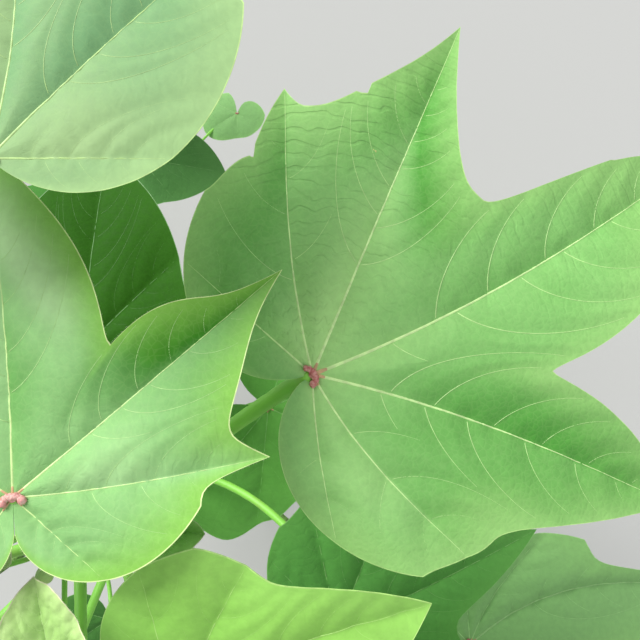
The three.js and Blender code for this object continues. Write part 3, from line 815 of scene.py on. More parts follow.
def vein_paths(leaf):
    """All veins of a blade: each has its path, its half width at both ends and its rank."""
    draw = random.Random(leaf["seed"])
    veins = leaf["shape"]["veins"]
    paths, starts, widths, sectors = [], [], [], []
    for k, (end, bend) in enumerate(veins):
        main = main_vein(leaf, end, bend)
        length = np.linalg.norm(main[-1]) / leaf["reach"]
        width = (VEIN_BASE + VEIN_SHARE * leaf["reach"]) * (0.5 + 0.5 * min(1, length))
        paths.append((main, width, width * MAIN_VEIN_END, 0))
        for side, shares in zip((1, -1), branch_starts(leaf, k, length, draw)):
            next_vein = k + side
            middle = side * BEYOND_EDGE
            if 0 <= next_vein < len(veins):
                middle = (end + veins[next_vein][0]) / 2 + side * draw.uniform(0, PAST_MIDDLE)
            for share in shares:
                starts.append((main, int(share * (len(main) - 1)), side, middle))
                widths.append(width * SIDE_VEIN_SHARE * (1.15 - 0.6 * share) * (0.4 + 0.6 * min(1, length)))
                sectors.append(min(k, next_vein))
    tracks = parted(side_veins(leaf, starts, draw), sectors, JOIN_GAP * leaf["reach"])
    for path, width in zip(tracks, widths):
        if len(path) > 4:
            paths.append((path, width, width * SIDE_VEIN_END, 1))
    return paths


def vein_tree(paths, rank):
    """A search tree over the points of the veins of one rank, with each point's strength."""
    points, strengths = [], []
    for path, width, thin, its_rank in paths:
        if its_rank == rank:
            fine = evenly(path, max(4, int(len(path) * 1.5)))
            points.extend(fine)
            strengths.extend(np.linspace(1, 0.5, len(fine)))
    tree = kdtree.KDTree(len(points))
    for k, point in enumerate(points):
        tree.insert((*point, 0), k)
    tree.balance()
    return tree, strengths


def crease(leaf, paths, x, y):
    """How deep places lie in the valleys along the veins, and how near the veins are."""
    reach = leaf["reach"]
    depth, near = np.zeros(len(x)), np.zeros(len(x))
    for rank, (deep, wide) in enumerate([(VALLEY_DEPTH, VALLEY_WIDTH), (CREASE_DEPTH, CREASE_WIDTH)]):
        tree, strengths = vein_tree(paths, rank)
        for k in range(len(x)):
            closeness = 0
            for found, index, distance in tree.find_n((x[k], y[k], 0), NEAREST_VEINS):
                close = math.exp(-math.hypot(distance / reach, CREASE_ROUND) / wide)
                closeness = max(closeness, close * strengths[index])
            depth[k] += deep * leaf["relief"] * reach * closeness
            near[k] = max(near[k], closeness)
    if leaf["crinkle"]:
        for k in range(len(x)):
            place = Vector((x[k] / reach * CRINKLES, y[k] / reach * CRINKLES, leaf["seed"]))
            depth[k] += leaf["crinkle"] * math.hypot(x[k], y[k]) * noise.fractal(place, 0.9, 2, 3)
    return depth, near


def set_map(mesh, name, u, v):
    """Writes a UV map from two values for each corner."""
    layer = mesh.uv_layers.get(name) or mesh.uv_layers.new(name=name)
    layer.data.foreach_set("uv", np.column_stack([u, v]).astype(np.float32).ravel())


def read_all(items, field, width=1, kind=np.int32):
    """One field of all items of a mesh."""
    found = np.zeros(len(items) * width, dtype=kind)
    items.foreach_get(field, found)
    return found


def shrink_map(piece, left, bottom, wide, high):
    """Moves a part's bake map into its own box of the leaf's map."""
    values = read_all(piece.data.uv_layers["OFBake"].data, "uv", 2, float)
    values = np.clip(values.reshape(-1, 2), 0, 1)
    set_map(piece.data, "OFBake", left + values[:, 0] * wide, bottom + values[:, 1] * high)


def blade_object(leaf, paths, materials):
    """The blade: a fan-shaped grid on the petiole's end, given its height, its valleys and
    its thickness. Its last narrow row is the margin."""
    angles = column_angles(leaf)[::-1]
    reach = leaf["reach"]
    far = edge_shares(leaf, angles) * reach
    rows = max(8, round(reach / leaf["cell"]))
    share = np.append(np.linspace(0, 1, rows + 1)[:-1], [1.0, 1.0])
    shares = np.tile(share[:, None], (1, len(angles)))
    shares[:-1] *= np.clip(1 - MARGIN_WIDTH / np.maximum(far, 1e-6), 0.2, 1)
    turned = np.radians(angles + vein_turn(leaf, angles) * (1 - shares) ** BEND_POWER)
    x, y = spot((shares * far).ravel(), turned.ravel()).T
    angles, shares = np.tile(angles, len(share)), shares.ravel()
    depth, near = crease(leaf, paths, x, y)
    z = blade_height(leaf, x, y, angles) - depth
    columns = len(far) - 1
    bm = bmesh.new()
    looks = {"near_vein": near, "outward": shares, "tone": painted_shade_on_blade(leaf, angles, shares),
             "wrinkled": blade_wrinkles(leaf, angles)}
    layers = [(bm.verts.layers.float.new(name), values) for name, values in looks.items()]
    made = bmesh.ops.create_grid(bm, x_segments=columns, y_segments=len(share) - 1, size=0.5)["verts"]
    for k, vert in enumerate(made):
        vert.co = (x[k], y[k], z[k])
        for layer, values in layers:
            vert[layer] = values[k]
    bm.faces.ensure_lookup_table()
    for face in bm.faces[-columns:]:
        face.material_index = 2
    bmesh.ops.remove_doubles(bm, verts=made[:columns + 1], dist=1e-6)
    surface = BVHTree.FromBMesh(bm)
    blade = object_from(bm, leaf["name"] + "_blade", materials)
    wall = blade.modifiers.new("thickness", "SOLIDIFY")
    wall.thickness = BLADE_SHARE * reach
    wall.offset = 0
    wall.material_offset = 1
    wall.material_offset_rim = 1
    mesh = bpy.data.meshes.new_from_object(blade.evaluated_get(bpy.context.evaluated_depsgraph_get()))
    blade.modifiers.clear()
    blade.data = mesh
    slots = np.repeat(read_all(mesh.polygons, "material_index"), read_all(mesh.polygons, "loop_total"))
    places = read_all(mesh.vertices, "co", 3, float).reshape(-1, 3)
    u, v = places[read_all(mesh.loops, "vertex_index"), :2].T
    set_map(mesh, "leaf_plane", u, v)
    set_map(mesh, "leaf_polar", np.arctan2(v, u) * POLAR_SCALE, np.hypot(u, v))
    top = slots % 2 == 0
    left, wide = (np.where(top, one, other) for one, other in zip(TOP_MAP, UNDER_MAP))
    scale = wide / (2 * reach)
    set_map(mesh, "OFBake", left + (u + FOOT_REACH * reach) * scale, (v + reach) * scale)
    mesh.set_sharp_from_angle(angle=math.radians(SHARP_EDGE))
    return blade, surface


def on_surface(surface, path):
    """The points of a path in the blade's plane, laid on the blade."""
    laid = []
    for x, y in path:
        found = surface.ray_cast(Vector((x, y, 1)), Vector((0, 0, -1)))[0]
        if found is None:
            found = surface.find_nearest(Vector((x, y, laid[-1][2] if laid else 0)))[0]
        laid.append(tuple(found))
    return np.array(laid)


def mapped_bmesh():
    """An empty bmesh with a UV map named OFBake."""
    bm = bmesh.new()
    bm.loops.layers.uv.new("OFBake")
    return bm


def level_across(line):
    """The level direction across a line at each of its points."""
    return np.cross(unit(np.gradient(line, axis=0)), (0.0, 0.0, 1.0))


def vein_object(leaf, paths, surface, materials):
    """The veins: tapering cords sunk in the blade, low above it and full below it."""
    half = BLADE_SHARE * leaf["reach"] / 2
    bm = mapped_bmesh()
    for path, width, thin, rank in paths:
        count = max(5, int(steps(path).sum() / (leaf["cell"] * VEIN_STEP[rank])))
        line = on_surface(surface, evenly(path, count))
        halves = width + (thin - width) * np.linspace(0, 1, count) ** VEIN_TAPER
        shape = np.ones(count)
        shape[[0, -1]] = 0
        rolled_tube(bm, line, halves * shape, (half + VEIN_RISE[rank] * halves) * shape,
                    (half + halves) * shape, (unit(level_across(line)), (0, 0, 1)), VEIN_SIDES[rank], rank)
    bmesh.ops.recalc_face_normals(bm, faces=bm.faces)
    return object_from(bm, leaf["name"] + "_veins", materials)


def add_lump(bm, size, uneven, waves, flat, place=(0, 0, 0), shift=(0, 0, 0)):
    """Adds an uneven ball, flattened and moved to its place."""
    verts = bmesh.ops.create_icosphere(bm, subdivisions=3, radius=size, calc_uvs=True)["verts"]
    for vert in verts:
        vert.co += vert.co.normalized() * size * uneven * noise.noise(vert.co * waves + Vector(shift))
        vert.co.z *= flat
    bmesh.ops.translate(bm, verts=verts, vec=place)


def knob_object(leaf, paths, surface, materials):
    """The red knob: lumps in a bow round the petiole's end, and the blushing skin on the root
    of each main vein."""
    radius = (PETIOLE_BASE + PETIOLE_SHARE * leaf["reach"]) * leaf["knob"]
    half = BLADE_SHARE * leaf["reach"] / 2
    draw = random.Random(leaf["seed"] + 7)
    bm = mapped_bmesh()
    for k in range(KNOB_LUMPS):
        share = 2 * k / (KNOB_LUMPS - 1) - 1
        turn = math.radians(KNOB_BOW * share + draw.uniform(-6, 6))
        out = radius * (KNOB_NEAR + (KNOB_FAR - KNOB_NEAR) * abs(share) ** 1.5)
        size = radius * draw.uniform(*LUMP_SIZES)
        place = (out * math.cos(turn) - radius * KNOB_BACK, out * math.sin(turn), size * 0.25)
        add_lump(bm, size, place=place, shift=(k * 3, 0, 0), **LUMP)
    add_lump(bm, radius * CORE_SIZE, **CORE)
    share = np.linspace(0, 1, COLLAR_ROWS)
    for path, width, thin, rank in paths:
        if rank == 0:
            reached = KNOB_COLLAR * radius * draw.uniform(0.7, 1.15)
            count = int(np.searchsorted(np.linalg.norm(path, axis=1), reached))
            line = on_surface(surface, evenly(path[:max(4, count)], COLLAR_ROWS))
            halves = width * (1.12 - 0.3 * share) * (share < 1)
            rolled_tube(bm, line, halves, half + COLLAR_RISE * halves, halves,
                        (level_across(line), (0, 0, 1)), COLLAR_SIDES, slot=1)
    bmesh.ops.recalc_face_normals(bm, faces=bm.faces)
    return object_from(bm, leaf["name"] + "_knob", materials)


def fringe_object(leaf, surface, material):
    """Fine pale hairs along the blade's edge, and on the whole of a young blade."""
    draw = random.Random(leaf["seed"] + 29)
    edge = edge_line(leaf, column_angles(leaf))
    edge = evenly(edge, int(steps(edge).sum() / EDGE_HAIR_STEP))
    along = unit(np.gradient(edge, axis=0))
    bm = mapped_bmesh()
    ways = np.column_stack([along[:, 1], -along[:, 0], np.full(len(edge), EDGE_HAIR_RISE)])
    add_hairs(bm, on_surface(surface, edge * EDGE_INSET), ways, EDGE_HAIR, draw)
    if leaf["hairs"] > 1:
        inner = np.array([point * draw.random() ** 0.5 for point in edge])
        add_hairs(bm, on_surface(surface, inner), [(0, 0, 1)] * len(inner), EDGE_HAIR * INNER_HAIR, draw)
    return object_from(bm, leaf["name"] + "_hairs", [material])


def scar_object(leaf, surface, material):
    """Dry pale marks where an insect fed: thin uneven scabs on the blade."""
    bm = mapped_bmesh()
    for angle, share, length, turn in leaf["scars"]:
        place = on_surface(surface, spot(share * leaf["reach"], np.radians([angle])))[0]
        scab = bmesh.ops.create_icosphere(bm, subdivisions=3, radius=1, calc_uvs=True)["verts"]
        for vert in scab:
            vert.co *= 1 + 0.5 * noise.noise(vert.co * 1.7)
            vert.co *= Vector((length / 2, length / 5, SCAR_THICK))
        shape = Matrix.Translation(Vector(place)) @ Matrix.Rotation(math.radians(turn), 4, "Z")
        bmesh.ops.transform(bm, matrix=shape, verts=scab)
    return object_from(bm, leaf["name"] + "_scars", [material])


def limb_foot(leaf):
    """Where on the middle of its limb a leaf's petiole starts, and the limb's radius there."""
    if leaf["on"] == "stem":
        return stem_point(leaf["at"]), stem_radius(leaf["at"])
    line, bough = bough_lines[leaf["on"]], BOUGHS[leaf["on"]]
    foot = Vector(line[round(leaf["at"] * (len(line) - 1))])
    return foot, bough["foot"] + (bough["tip"] - bough["foot"]) * leaf["at"]


def petiole_line(leaf, count):
    """The petiole's course: it leaves its limb outwards and upwards, and comes to the blade
    from behind."""
    foot = limb_foot(leaf)[0]
    end = Vector(leaf["junction"])
    bow = Vector(leaf["bow"])
    span = (end - foot).length
    heading = math.radians(leaf["heading"])
    level, up, pull = PETIOLE_RISE
    rise = Vector((level * math.cos(heading), level * math.sin(heading), up))
    before_end = end - rise * pull * span + bow
    level, up, pull = PETIOLE_OUT
    out = end - foot
    out.z = 0
    out = out.normalized() * level
    out.z = up
    controls = [foot, foot + out * pull * span + bow, before_end, end]
    dense = []
    for t in np.linspace(0, 1, 200):
        weights = ((1 - t) ** 3, 3 * t * (1 - t) ** 2, 3 * t * t * (1 - t), t ** 3)
        dense.append(tuple(sum((c * w for c, w in zip(controls, weights)), Vector())))
    return evenly(np.array(dense), count)


def foot_growths(bm, leaf, line, radius):
    """What grows at a petiole's foot: two narrow pointed stipules and the bud of a side shoot
    in the corner above the petiole."""
    draw = random.Random(leaf["seed"] + 19)
    foot, ahead = line[0], line[3] - line[0]
    ahead = ahead / np.linalg.norm(ahead)
    sideways = np.cross(ahead, (0.0, 0.0, 1.0))
    sideways /= np.linalg.norm(sideways)
    upright = np.cross(sideways, ahead)
    share = np.linspace(0, 1, STIPULE_ROWS)
    start = foot + ahead * FOOT_OUT * limb_foot(leaf)[1]
    length = STIPULE_BASE + STIPULE_SHARE * leaf["reach"]
    for turn in (-1, 1):
        course = sideways * turn * draw.uniform(*STIPULE_LEAN) + upright * 0.6 + ahead * 0.35
        course /= np.linalg.norm(course)
        curl = np.outer((length * draw.uniform(*STIPULE_CURL)) * share ** 2, ahead)
        rib = start + sideways * turn * radius * 0.8 + np.outer(share * length, course) + curl
        wide = STIPULE_WIDTH * length * np.sin(np.pi * np.clip(share * 0.86 + 0.14, 0, 1)) * (share < 1)
        wide[0] = 0
        thick = np.minimum(wide * 0.3, STIPULE_THICK)
        flat = np.cross(course, ahead)
        flat /= np.linalg.norm(flat)
        rolled_tube(bm, rib, wide, thick, thick, (flat, np.cross(course, flat)), STIPULE_SIDES)
    bud_length = radius * draw.uniform(*SHOOT_SHARE)
    rib = start + np.outer(share * bud_length, upright * 0.9 + ahead * 0.2) + upright * radius * 0.6
    plump = radius * SHOOT_PLUMP * np.sin(np.pi * np.clip(share, 0, 1) ** 0.75)
    plump[[0, -1]] = 0
    round_tube(bm, rib, plump, (sideways, np.cross(upright, sideways)), SHOOT_SIDES)


def petiole_object(leaf, material):
    """The petiole: a round stalk, thicker at its foot and just under the blade."""
    count = max(24, int(leaf["reach"] / PETIOLE_STEP))
    line = petiole_line(leaf, count)
    share = np.linspace(0, 1, count)
    radius = PETIOLE_BASE + PETIOLE_SHARE * leaf["reach"]
    (foot, foot_fade), (head, head_fade) = PETIOLE_FOOT, PETIOLE_HEAD
    radii = radius * (1 + foot * np.exp(-foot_fade * share) + head * np.exp(-head_fade * (1 - share)))
    radii = round_ends(radii, PETIOLE_END_ROWS)
    bm = mapped_bmesh()
    rolled_tube(bm, line, radii, radii, radii, crossways(line), PETIOLE_SIDES)
    foot_growths(bm, leaf, line, radius)
    bm.normal_update()
    for vert in bm.verts:
        vert.co += vert.normal * radius * PETIOLE_UNEVEN * noise.noise(vert.co * PETIOLE_WAVES)
    return object_from(bm, leaf["name"] + "_petiole", [material])


def leaf_material(name, finish, underside=False):
    """A blade's skin: deeper and lighter in its parts with painted shade and painted light, softly
    mottled, paler beside the veins and yellower at the rim, with a fine net of veinlets and cross wrinkles."""
    body, deep, light, rim = [
        finish["under" if underside else part] for part in ("body", "deep", "light", "rim")]
    skin = Skin(name, body)
    skin.feed(skin.shader, {"Specular IOR Level": UNDER_SHINE if underside else finish["shine"]})
    plane, polar = [
        skin.add("ShaderNodeUVMap", uv_map=name).outputs["UV"] for name in ("leaf_plane", "leaf_polar")]
    near, outward, tone, wrinkled = [
        skin.add("ShaderNodeAttribute", attribute_name=name).outputs["Fac"]
        for name in ("near_vein", "outward", "tone", "wrinkled")]
    broad = skin.noise(skin.place, MOTTLE_SCALE)
    fine = skin.noise(plane, GRAIN_SCALE, 5)
    # The deep colour comes from random mottling and from the painted shade patches; the light colour only
    # from the painted light patches.
    dark = skin.math("ADD", skin.ramp(broad, 0.38, 0.66, -0.02, 0.2), tone, clamp=True)
    colour = skin.blend(dark, body, deep)
    colour = skin.blend(skin.ramp(tone, 0, -1), colour, light)
    outermost = skin.math("MULTIPLY_ADD", broad, 0.5, outward)
    colour = skin.blend(skin.ramp(outermost, 0.9, 1.35), colour, rim)
    net = skin.add("ShaderNodeTexVoronoi", {"Vector": plane, "Scale": NET_SCALE},
                   feature="DISTANCE_TO_EDGE").outputs["Distance"]
    colour = skin.blend(skin.ramp(net, 0, 0.12, 0.05, 0), colour, finish["pale"])
    colour = skin.blend(skin.ramp(near, 0.6, 1, 0, 0.12), colour, finish["pale"])
    colour = skin.blend(1, colour, skin.ramp(fine, 0.3, 0.7, 0.95, 1.03), "MULTIPLY")
    ladder = skin.add(
        "ShaderNodeTexWave",
        {"Vector": polar, "Scale": WRINKLE_SCALE, "Distortion": 8, "Detail": 2, "Detail Scale": 1.3},
        wave_type="BANDS", bands_direction="Y", wave_profile="SIN").outputs["Fac"]
    patchy = skin.ramp(skin.noise(plane, PATCH_SCALE, 2), 0.34, 0.6, 0.55, 1)
    folded = skin.math("MULTIPLY", skin.ramp(ladder, 0, 0.3), skin.math("MULTIPLY", patchy, wrinkled))
    relief = skin.math("ADD", folded, skin.ramp(net, 0, 0.35, 0, 0.2))
    return skin.finish(colour, skin.ramp(fine, 0.3, 0.7, 0.6, 0.72), relief,
                       0.5 * finish["wrinkle"], WRINKLE_DEPTH, underside)


def petiole_material(name, green, red):
    """The stalk's skin: green with redder streaks and fine hairs' roughness."""
    skin = Skin(name, green)
    redness = skin.ramp(skin.noise(skin.place, REDNESS_SCALE), 0.5, 0.75, 0, 0.7)
    colour = skin.blend(redness, green, red)
    return skin.finish(colour, relief=skin.noise(skin.place, STALK_GRAIN), depth=STALK_GRAIN_DEPTH)


def mottled_material(name, colour, roughness):
    """The skin of a thin part: one colour, a little deeper and lighter in fine patches."""
    skin = Skin(name, colour)
    patch = skin.noise(skin.place, THIN_PATCH)
    deep, light = (tuple(c * share for c in colour[:3]) + (1,) for share in (0.86, 1.12))
    return skin.finish(skin.blend(skin.ramp(patch, 0.35, 0.65), deep, light),
                       skin.ramp(patch, 0.35, 0.65, roughness + 0.06, roughness - 0.06))


def knob_material(name, red, pink):
    """The knob's skin: dark red between pink lumps."""
    skin = Skin(name, red)
    patch = skin.noise(skin.place, KNOB_PATCH)
    return skin.finish(skin.blend(skin.ramp(patch, 0.38, 0.62), red, pink))


def shade(red, green, blue):
    """A colour from how it looks on a screen, 0 to 255, as the nodes want it."""
    return tuple(((c / 255 + 0.055) / 1.055) ** 2.4 for c in (red, green, blue)) + (1,)


def between(one, other, share):
    """The colour at a share of the way from one to another."""
    return tuple(round(a + (b - a) * share) for a, b in zip(one, other))


stalk_green = petiole_material("stalk_green", shade(139, 210, 80), shade(142, 164, 80))
vein_blush = mottled_material("vein_blush", shade(196, 160, 118), 0.5)
scar_pale = mottled_material("scar_pale", shade(208, 208, 130), 0.7)
knob_red = knob_material("knob_red", shade(176, 94, 90), shade(206, 146, 136))
knob_pink = knob_material("knob_pink", shade(200, 136, 130), shade(216, 172, 160))


def green_finish(body, deep, rim, vein, light=None, margin=None, under=(138, 182, 112), shine=0.2,
                 wrinkle=0.4, knob=knob_red, side=0.55):
    """The colours of one leaf, with the knob and stalk that all leaves share. Its deep colour serves the
    mottling and the painted shade, its light colour the painted light.
    """
    key = "_%d_%d_%d" % vein
    return {"body": shade(*body), "deep": shade(*deep), "rim": shade(*rim), "pale": shade(*vein),
            "light": shade(*(light or between(body, vein, 0.4))), "under": shade(*under),
            "shine": shine, "wrinkle": wrinkle, "knob": knob,
            "vein": mottled_material("vein" + key, shade(*vein), 0.45),
            "side_vein": mottled_material("side_vein" + key, shade(*between(body, vein, side)), 0.5),
            "margin": mottled_material("margin" + key, shade(*(margin or vein)), 0.5)}


def make_leaf(leaf, name, on, seed):
    """Builds one leaf of a limb as one piece that stands for its node."""
    leaf = {**leaf, "name": name, "on": on, "seed": seed}
    finish = leaf["finish"]
    paths = vein_paths(leaf)
    skins = [leaf_material(name + "_upper", finish), leaf_material(name + "_lower", finish, True)]
    blade, surface = blade_object(leaf, paths, skins + [finish["margin"], finish["margin"]])
    veins = vein_object(leaf, paths, surface, [finish["vein"], finish["side_vein"]])
    knob = knob_object(leaf, paths, surface, [finish["knob"], vein_blush])
    extras = []
    if leaf["hairs"]:
        extras.append(fringe_object(leaf, surface, hair_pale))
    if leaf["scars"]:
        extras.append(scar_object(leaf, surface, scar_pale))
    matrix = Matrix.Translation(leaf["junction"])
    for turn, axis in (("heading", "Z"), ("pitch", "Y"), ("roll", "X")):
        matrix @= Matrix.Rotation(math.radians(leaf[turn]), 4, axis)
    parts = [blade, veins, knob] + extras
    for part in parts:
        part.data.transform(matrix)
    parts.append(petiole_object(leaf, stalk_green))
    boxes = [VEIN_MAP, KNOB_MAP] + [HAIR_MAP] * len(extras) + [PETIOLE_MAP]
    for part, box in zip(parts[1:], boxes):
        shrink_map(part, *box)
    with bpy.context.temp_override(
            active_object=blade, selected_objects=parts, selected_editable_objects=parts):
        bpy.ops.object.join()
    blade.name = name + "_whole"
    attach(blade, "root")
    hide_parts(name)


def grow(outline, at, junction, heading, reach, finish, **more):
    """One leaf: its outline, where on its limb the petiole starts, where the petiole meets the
    blade, which way and how far the middle lobe goes, its finish, and what else is its own."""
    return {"shape": OUTLINES[outline], "at": at, "junction": junction, "heading": heading,
            "reach": reach, "finish": finish, "pitch": 6, "roll": 0, "lift": 0.06, "droop": 0.16,
            "fold": 0, "puff": 0.045, "wave": 0.01, "bow": (0, 0, 0), "cell": COARSE_CELL, "relief": 1,
            "crinkle": 0, "knob": 1, "hairs": 0, "wrinkled": (0, 400, 1), "bites": [], "scars": [],
            "tones": [], **more}


MID_GREEN = green_finish((100, 150, 78), (76, 128, 56), (110, 158, 82), (158, 198, 122))
GREAT_GREEN = green_finish((134, 188, 108), (78, 151, 56), (146, 194, 112), (200, 230, 156),
                           light=(168, 215, 132), margin=(168, 207, 124), wrinkle=1.2, side=0.75)
CREST_GREEN = green_finish((137, 185, 116), (48, 120, 18), (128, 184, 74), (194, 222, 146),
                           light=(186, 220, 162), margin=(206, 226, 152), knob=knob_pink, side=0.5)
PALE_GREEN = green_finish((139, 172, 117), (109, 155, 104), (151, 185, 124), (170, 200, 126),
                          light=(163, 191, 132), wrinkle=0.2, side=0.6)
BRIGHT_GREEN = green_finish((146, 203, 90), (130, 188, 78), (152, 208, 98), (180, 222, 124), wrinkle=0.2)
# Leaf greens darkened with painted shade, for low leaves that lie under others: the next three finishes, the
# first the darkest.
PAINTED_SHADE_DEEP_GREEN = green_finish((42, 88, 18), (35, 77, 13), (48, 95, 24), (84, 132, 62), under=(84, 130, 66),
                          shine=0.06, wrinkle=0.25)
PAINTED_SHADE_DIM_GREEN = green_finish((58, 112, 40), (50, 100, 34), (64, 120, 46), (96, 144, 72), under=(92, 138, 72),
                         shine=0.1)
PAINTED_SHADE_FAR_GREEN = green_finish((82, 133, 69), (69, 117, 54), (90, 141, 75), (112, 160, 92),
                         under=(108, 152, 86), shine=0.12)
SHADE_GREEN = green_finish((96, 162, 76), (80, 144, 60), (104, 168, 80), (132, 186, 104),
                           under=(112, 162, 88), shine=0.14)
COVERED_GREEN = green_finish((107, 174, 78), (97, 161, 68), (112, 178, 82), (132, 192, 100),
                             under=(112, 162, 88), shine=0.14)
LOW_GREEN = green_finish((76, 130, 60), (62, 112, 48), (84, 138, 64), (122, 172, 98),
                         under=(108, 154, 86), shine=0.14)
SOFT_GREEN = green_finish((138, 187, 116), (120, 174, 96), (144, 196, 116), (162, 208, 134),
                          under=(134, 178, 108), shine=0.18)
# Some leaves take a finish darkened with painted shade, and three have patches of painted shade and painted
# light on their blades.
STEM_LEAVES = [
    grow("heart", 0.128, (-0.078, 0.022, 0.176), 165, 0.060, PAINTED_SHADE_FAR_GREEN, pitch=14, roll=6, droop=0.2),
    grow("heart", 0.150, (0.004, -0.084, 0.205), 268, 0.066, PAINTED_SHADE_FAR_GREEN, pitch=18, roll=-8, droop=0.2),
    grow("round_foot", 0.180, (0.050, 0.029, 0.230), -25, 0.088, COVERED_GREEN, pitch=10, droop=0.18),
    grow("three_lobed", 0.200, (-0.090, -0.042, 0.252), 205, 0.082, LOW_GREEN, pitch=20, roll=8,
         droop=0.22),
    grow("heart", 0.216, (-0.022, 0.056, 0.270), 87, 0.084, PAINTED_SHADE_DEEP_GREEN, pitch=9, roll=-4),
    grow("palmate", 0.232, (0.0795, -0.0473, 0.292), 22, 0.088, SHADE_GREEN, pitch=8,
         bow=(0.015, 0.027, 0)),
    grow("palmate", 0.250, (-0.042, -0.112, 0.300), 250, 0.100, MID_GREEN, pitch=24, roll=-6, droop=0.2),
    grow("palmate", 0.268, (-0.112, 0.030, 0.325), 165, 0.102, MID_GREEN, pitch=20, roll=8, droop=0.22),
    grow("palmate", 0.286, (0.128, -0.073, 0.336), -38, 0.084, SOFT_GREEN, pitch=14, roll=-5, droop=0.2,
         bow=(-0.004, -0.018, 0)),
    grow("palmate", 0.300, (-0.080, -0.078, 0.352), 225, 0.108, MID_GREEN, pitch=26, roll=-8, droop=0.2),
    grow("smooth_side", 0.322, (0.0356, -0.0365, 0.385), -20, 0.096, BRIGHT_GREEN, roll=18,
         cell=FINE_CELL),
    grow("open_foot", 0.330, (0.0012, 0.103, 0.430), 92, 0.088, PALE_GREEN, pitch=8,
         bow=(-0.060, 0.002, -0.006), cell=FINE_CELL, relief=0.8,
         tones=[(-45, -6, 0.6, 0.9, 0.9), (-45, -88, 0.68, 0.42, 0.75), (-92, -30, 0.4, 0.6, -0.5),
                (0, -26, 0.35, 0.6, 0.7), (0, 60, 0.5, 1, -0.2)]),
    grow("palmate", 0.338, (-0.100, -0.022, 0.372), 190, 0.104, MID_GREEN, pitch=20, roll=7, droop=0.22),
    grow("great", 0.345, (0.071, 0.053, 0.378), 28.4, 0.142, GREAT_GREEN, pitch=8, droop=0.18,
         cell=FINE_CELL, bites=[(51.2, 1.4, 0.018, -0.68), (76.6, 1.1, 0.011, 0.2)],
         scars=[(46.3, 0.462, 0.0022, 118)], wrinkled=(62, 78, 0.14),
         tones=[(-180, 9000, 0, 0.45, -0.6), (37.7, 400, 0.25, 0.55, -0.35), (66.8, 150, 0.8, 0.8, 0.65),
                (110, 240, 0.5, 1.3, 0.3), (37.7, -14, 0.45, 0.5, -0.4), (37.7, 4, 0.85, 0.38, 1.4),
                (37.7, 62, 0.45, 0.6, -0.25), (37.7, 62, 0.9, 0.4, 0.9), (37.7, 8, 1, 0.35, 0.9),
                (-78, -200, 0.55, 0.6, -0.45), (0, 26, 0.4, 0.4, 0.3), (0, 30, 0.8, 0.5, 0.25),
                (0, -30, 0.85, 0.5, 0.25), (-48, -18, 0.5, 0.6, 0.65), (-48, -10, 1, 0.55, 0.9),
                (-48, -88, 0.4, 0.5, 0.4), (-48, -120, 0.97, 0.5, 0.85)]),
    grow("palmate", 0.352, (0.017, -0.098, 0.412), 277, 0.098, BRIGHT_GREEN, pitch=20, roll=-5,
         droop=0.22),
    grow("crested", 0.362, (-0.0027, 0.0243, 0.404), 97, 0.091, CREST_GREEN, droop=0.1, puff=0.07,
         cell=FINE_CELL, knob=1.45, hairs=1, wrinkled=(-70, 60, 0.3),
         tones=[(-56, -8, 0.88, 0.58, 1.3), (-56, -84, 0.85, 0.4, 0.5), (-88, -50, 0.4, 0.45, -0.45),
                (-88, -190, 0.6, 0.8, -0.06), (0, 60, 0.7, 0.9, -0.4), (0, -72, 0.92, 0.5, -1.2),
                (0, -44, 0.32, 0.42, 0.55)]),
]
for number, stem_leaf in enumerate(STEM_LEAVES, 1):
    make_leaf(stem_leaf, "leaf_stem_%d" % number, "stem", number)


# The leaves of the side boughs: first leaves and seed leaves, smaller and darker, two of them
# darkened with painted shade, and one large leaf at the end of the bough on the right. They are
# made as the stem's leaves are.
BOUGH_LEAVES = {
    "back": [
        grow("heart", 0.62, (-0.015, 0.147, 0.190), -8, 0.042, PAINTED_SHADE_FAR_GREEN, pitch=4),
        grow("cleft", 0.9, (0.0286, 0.1785, 0.150), -88, 0.016, SOFT_GREEN, pitch=0),
        grow("three_lobed", 0.99, (-0.020, 0.194, 0.232), 100, 0.062, LOW_GREEN, pitch=20, roll=-6,
             droop=0.2, bow=(-0.026, 0.010, -0.012)),
        grow("heart", 0.34, (-0.064, 0.108, 0.150), 140, 0.054, PAINTED_SHADE_DIM_GREEN, pitch=18, roll=8, droop=0.2)],
    "right": [
        grow("heart", 0.4, (0.098, 0.022, 0.172), 45, 0.056, LOW_GREEN, pitch=16, roll=-6, droop=0.2),
        grow("heart", 0.62, (0.070, -0.118, 0.222), -75, 0.062, LOW_GREEN, pitch=20, roll=6, droop=0.2),
        grow("low_shoulder", 0.99, (0.136, -0.0682, 0.252), 8, 0.116, SOFT_GREEN, pitch=10)],
    "left": [
        grow("three_lobed", 0.98, (-0.132, -0.090, 0.202), 215, 0.066, LOW_GREEN, pitch=22, roll=-8,
             droop=0.22),
        grow("heart", 0.5, (-0.040, -0.092, 0.150), 262, 0.054, LOW_GREEN, pitch=18, roll=6, droop=0.2)],
}
seed = 31
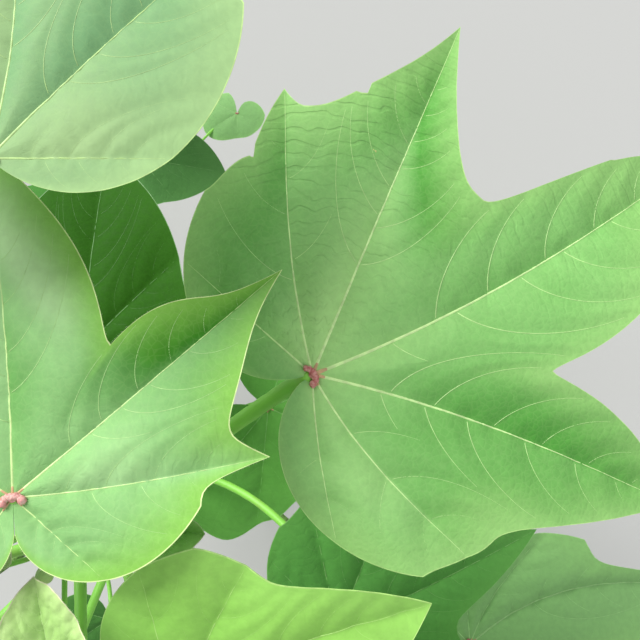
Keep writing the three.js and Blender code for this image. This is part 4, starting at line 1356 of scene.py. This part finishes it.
for side, its_leaves in BOUGH_LEAVES.items():
    for number, bough_leaf in enumerate(its_leaves, 1):
        make_leaf(bough_leaf, "leaf_%s_%d" % (side, number), "bough_" + side, seed)
        seed += 1


# The young leaves round the growing tip: small, yellow-green, and still folded along the
# middle vein. They are made as the full-grown ones are.
YOUNG = {"lift": 0.1, "droop": 0.1, "fold": 0.5, "puff": 0.03, "wave": 0.04, "cell": 0.0007,
         "relief": 2.4, "crinkle": 0.07, "hairs": 2}
YOUNG_GREEN = green_finish((160, 196, 116), (134, 178, 88), (174, 202, 130), (190, 214, 152),
                           margin=(206, 208, 164), under=(164, 202, 128))
NEW_GREEN = green_finish((118, 176, 80), (98, 156, 62), (140, 190, 100), (160, 202, 124),
                         margin=(176, 202, 138), under=(126, 178, 92))
YOUNG_LEAVES = [
    grow("heart", 0.372, (0.006, -0.020, 0.400), 103, 0.024, YOUNG_GREEN, **YOUNG),
    grow("heart", 0.366, (-0.014, 0.003, 0.388), 150, 0.022, YOUNG_GREEN, **YOUNG),
    grow("heart", 0.330, (0.021, 0.0045, 0.352), -8, 0.017, NEW_GREEN, **YOUNG),
]
for number, young_leaf in enumerate(YOUNG_LEAVES, 1):
    make_leaf(young_leaf, "young_leaf_%d" % number, "stem", number + 60)


# The growing tip: a pointed bud over the end of the stem, of small scales that wrap each
# other. It is green and faintly red, and has grown on the stem.
BUD_LENGTH = 0.009
BUD_RADIUS = 0.0024
BUD_GAP = 0.0003
BUD_ROWS = 40
BUD_SIDES = 32
BUD_PROFILE = ([0, 0.02, 0.35, 0.7, 0.95, 1], [0, 0.62, 1, 0.72, 0.25, 0])
bud_bm = bmesh.new()
bud_share = np.linspace(0, 1, BUD_ROWS)
bud_line = np.array([tuple(stem_point(STEM_HEIGHT))]) + np.outer(bud_share * BUD_LENGTH + BUD_GAP, (0, 0, 1))
round_tube(bud_bm, bud_line, BUD_RADIUS * np.interp(bud_share, *BUD_PROFILE), LEVEL, BUD_SIDES)
bud_green = petiole_material("bud_green", shade(160, 196, 112), shade(176, 168, 112))
bud = object_from(bud_bm, "shoot_tip_bud", [bud_green])
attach(bud, "root")
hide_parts("shoot_tip")
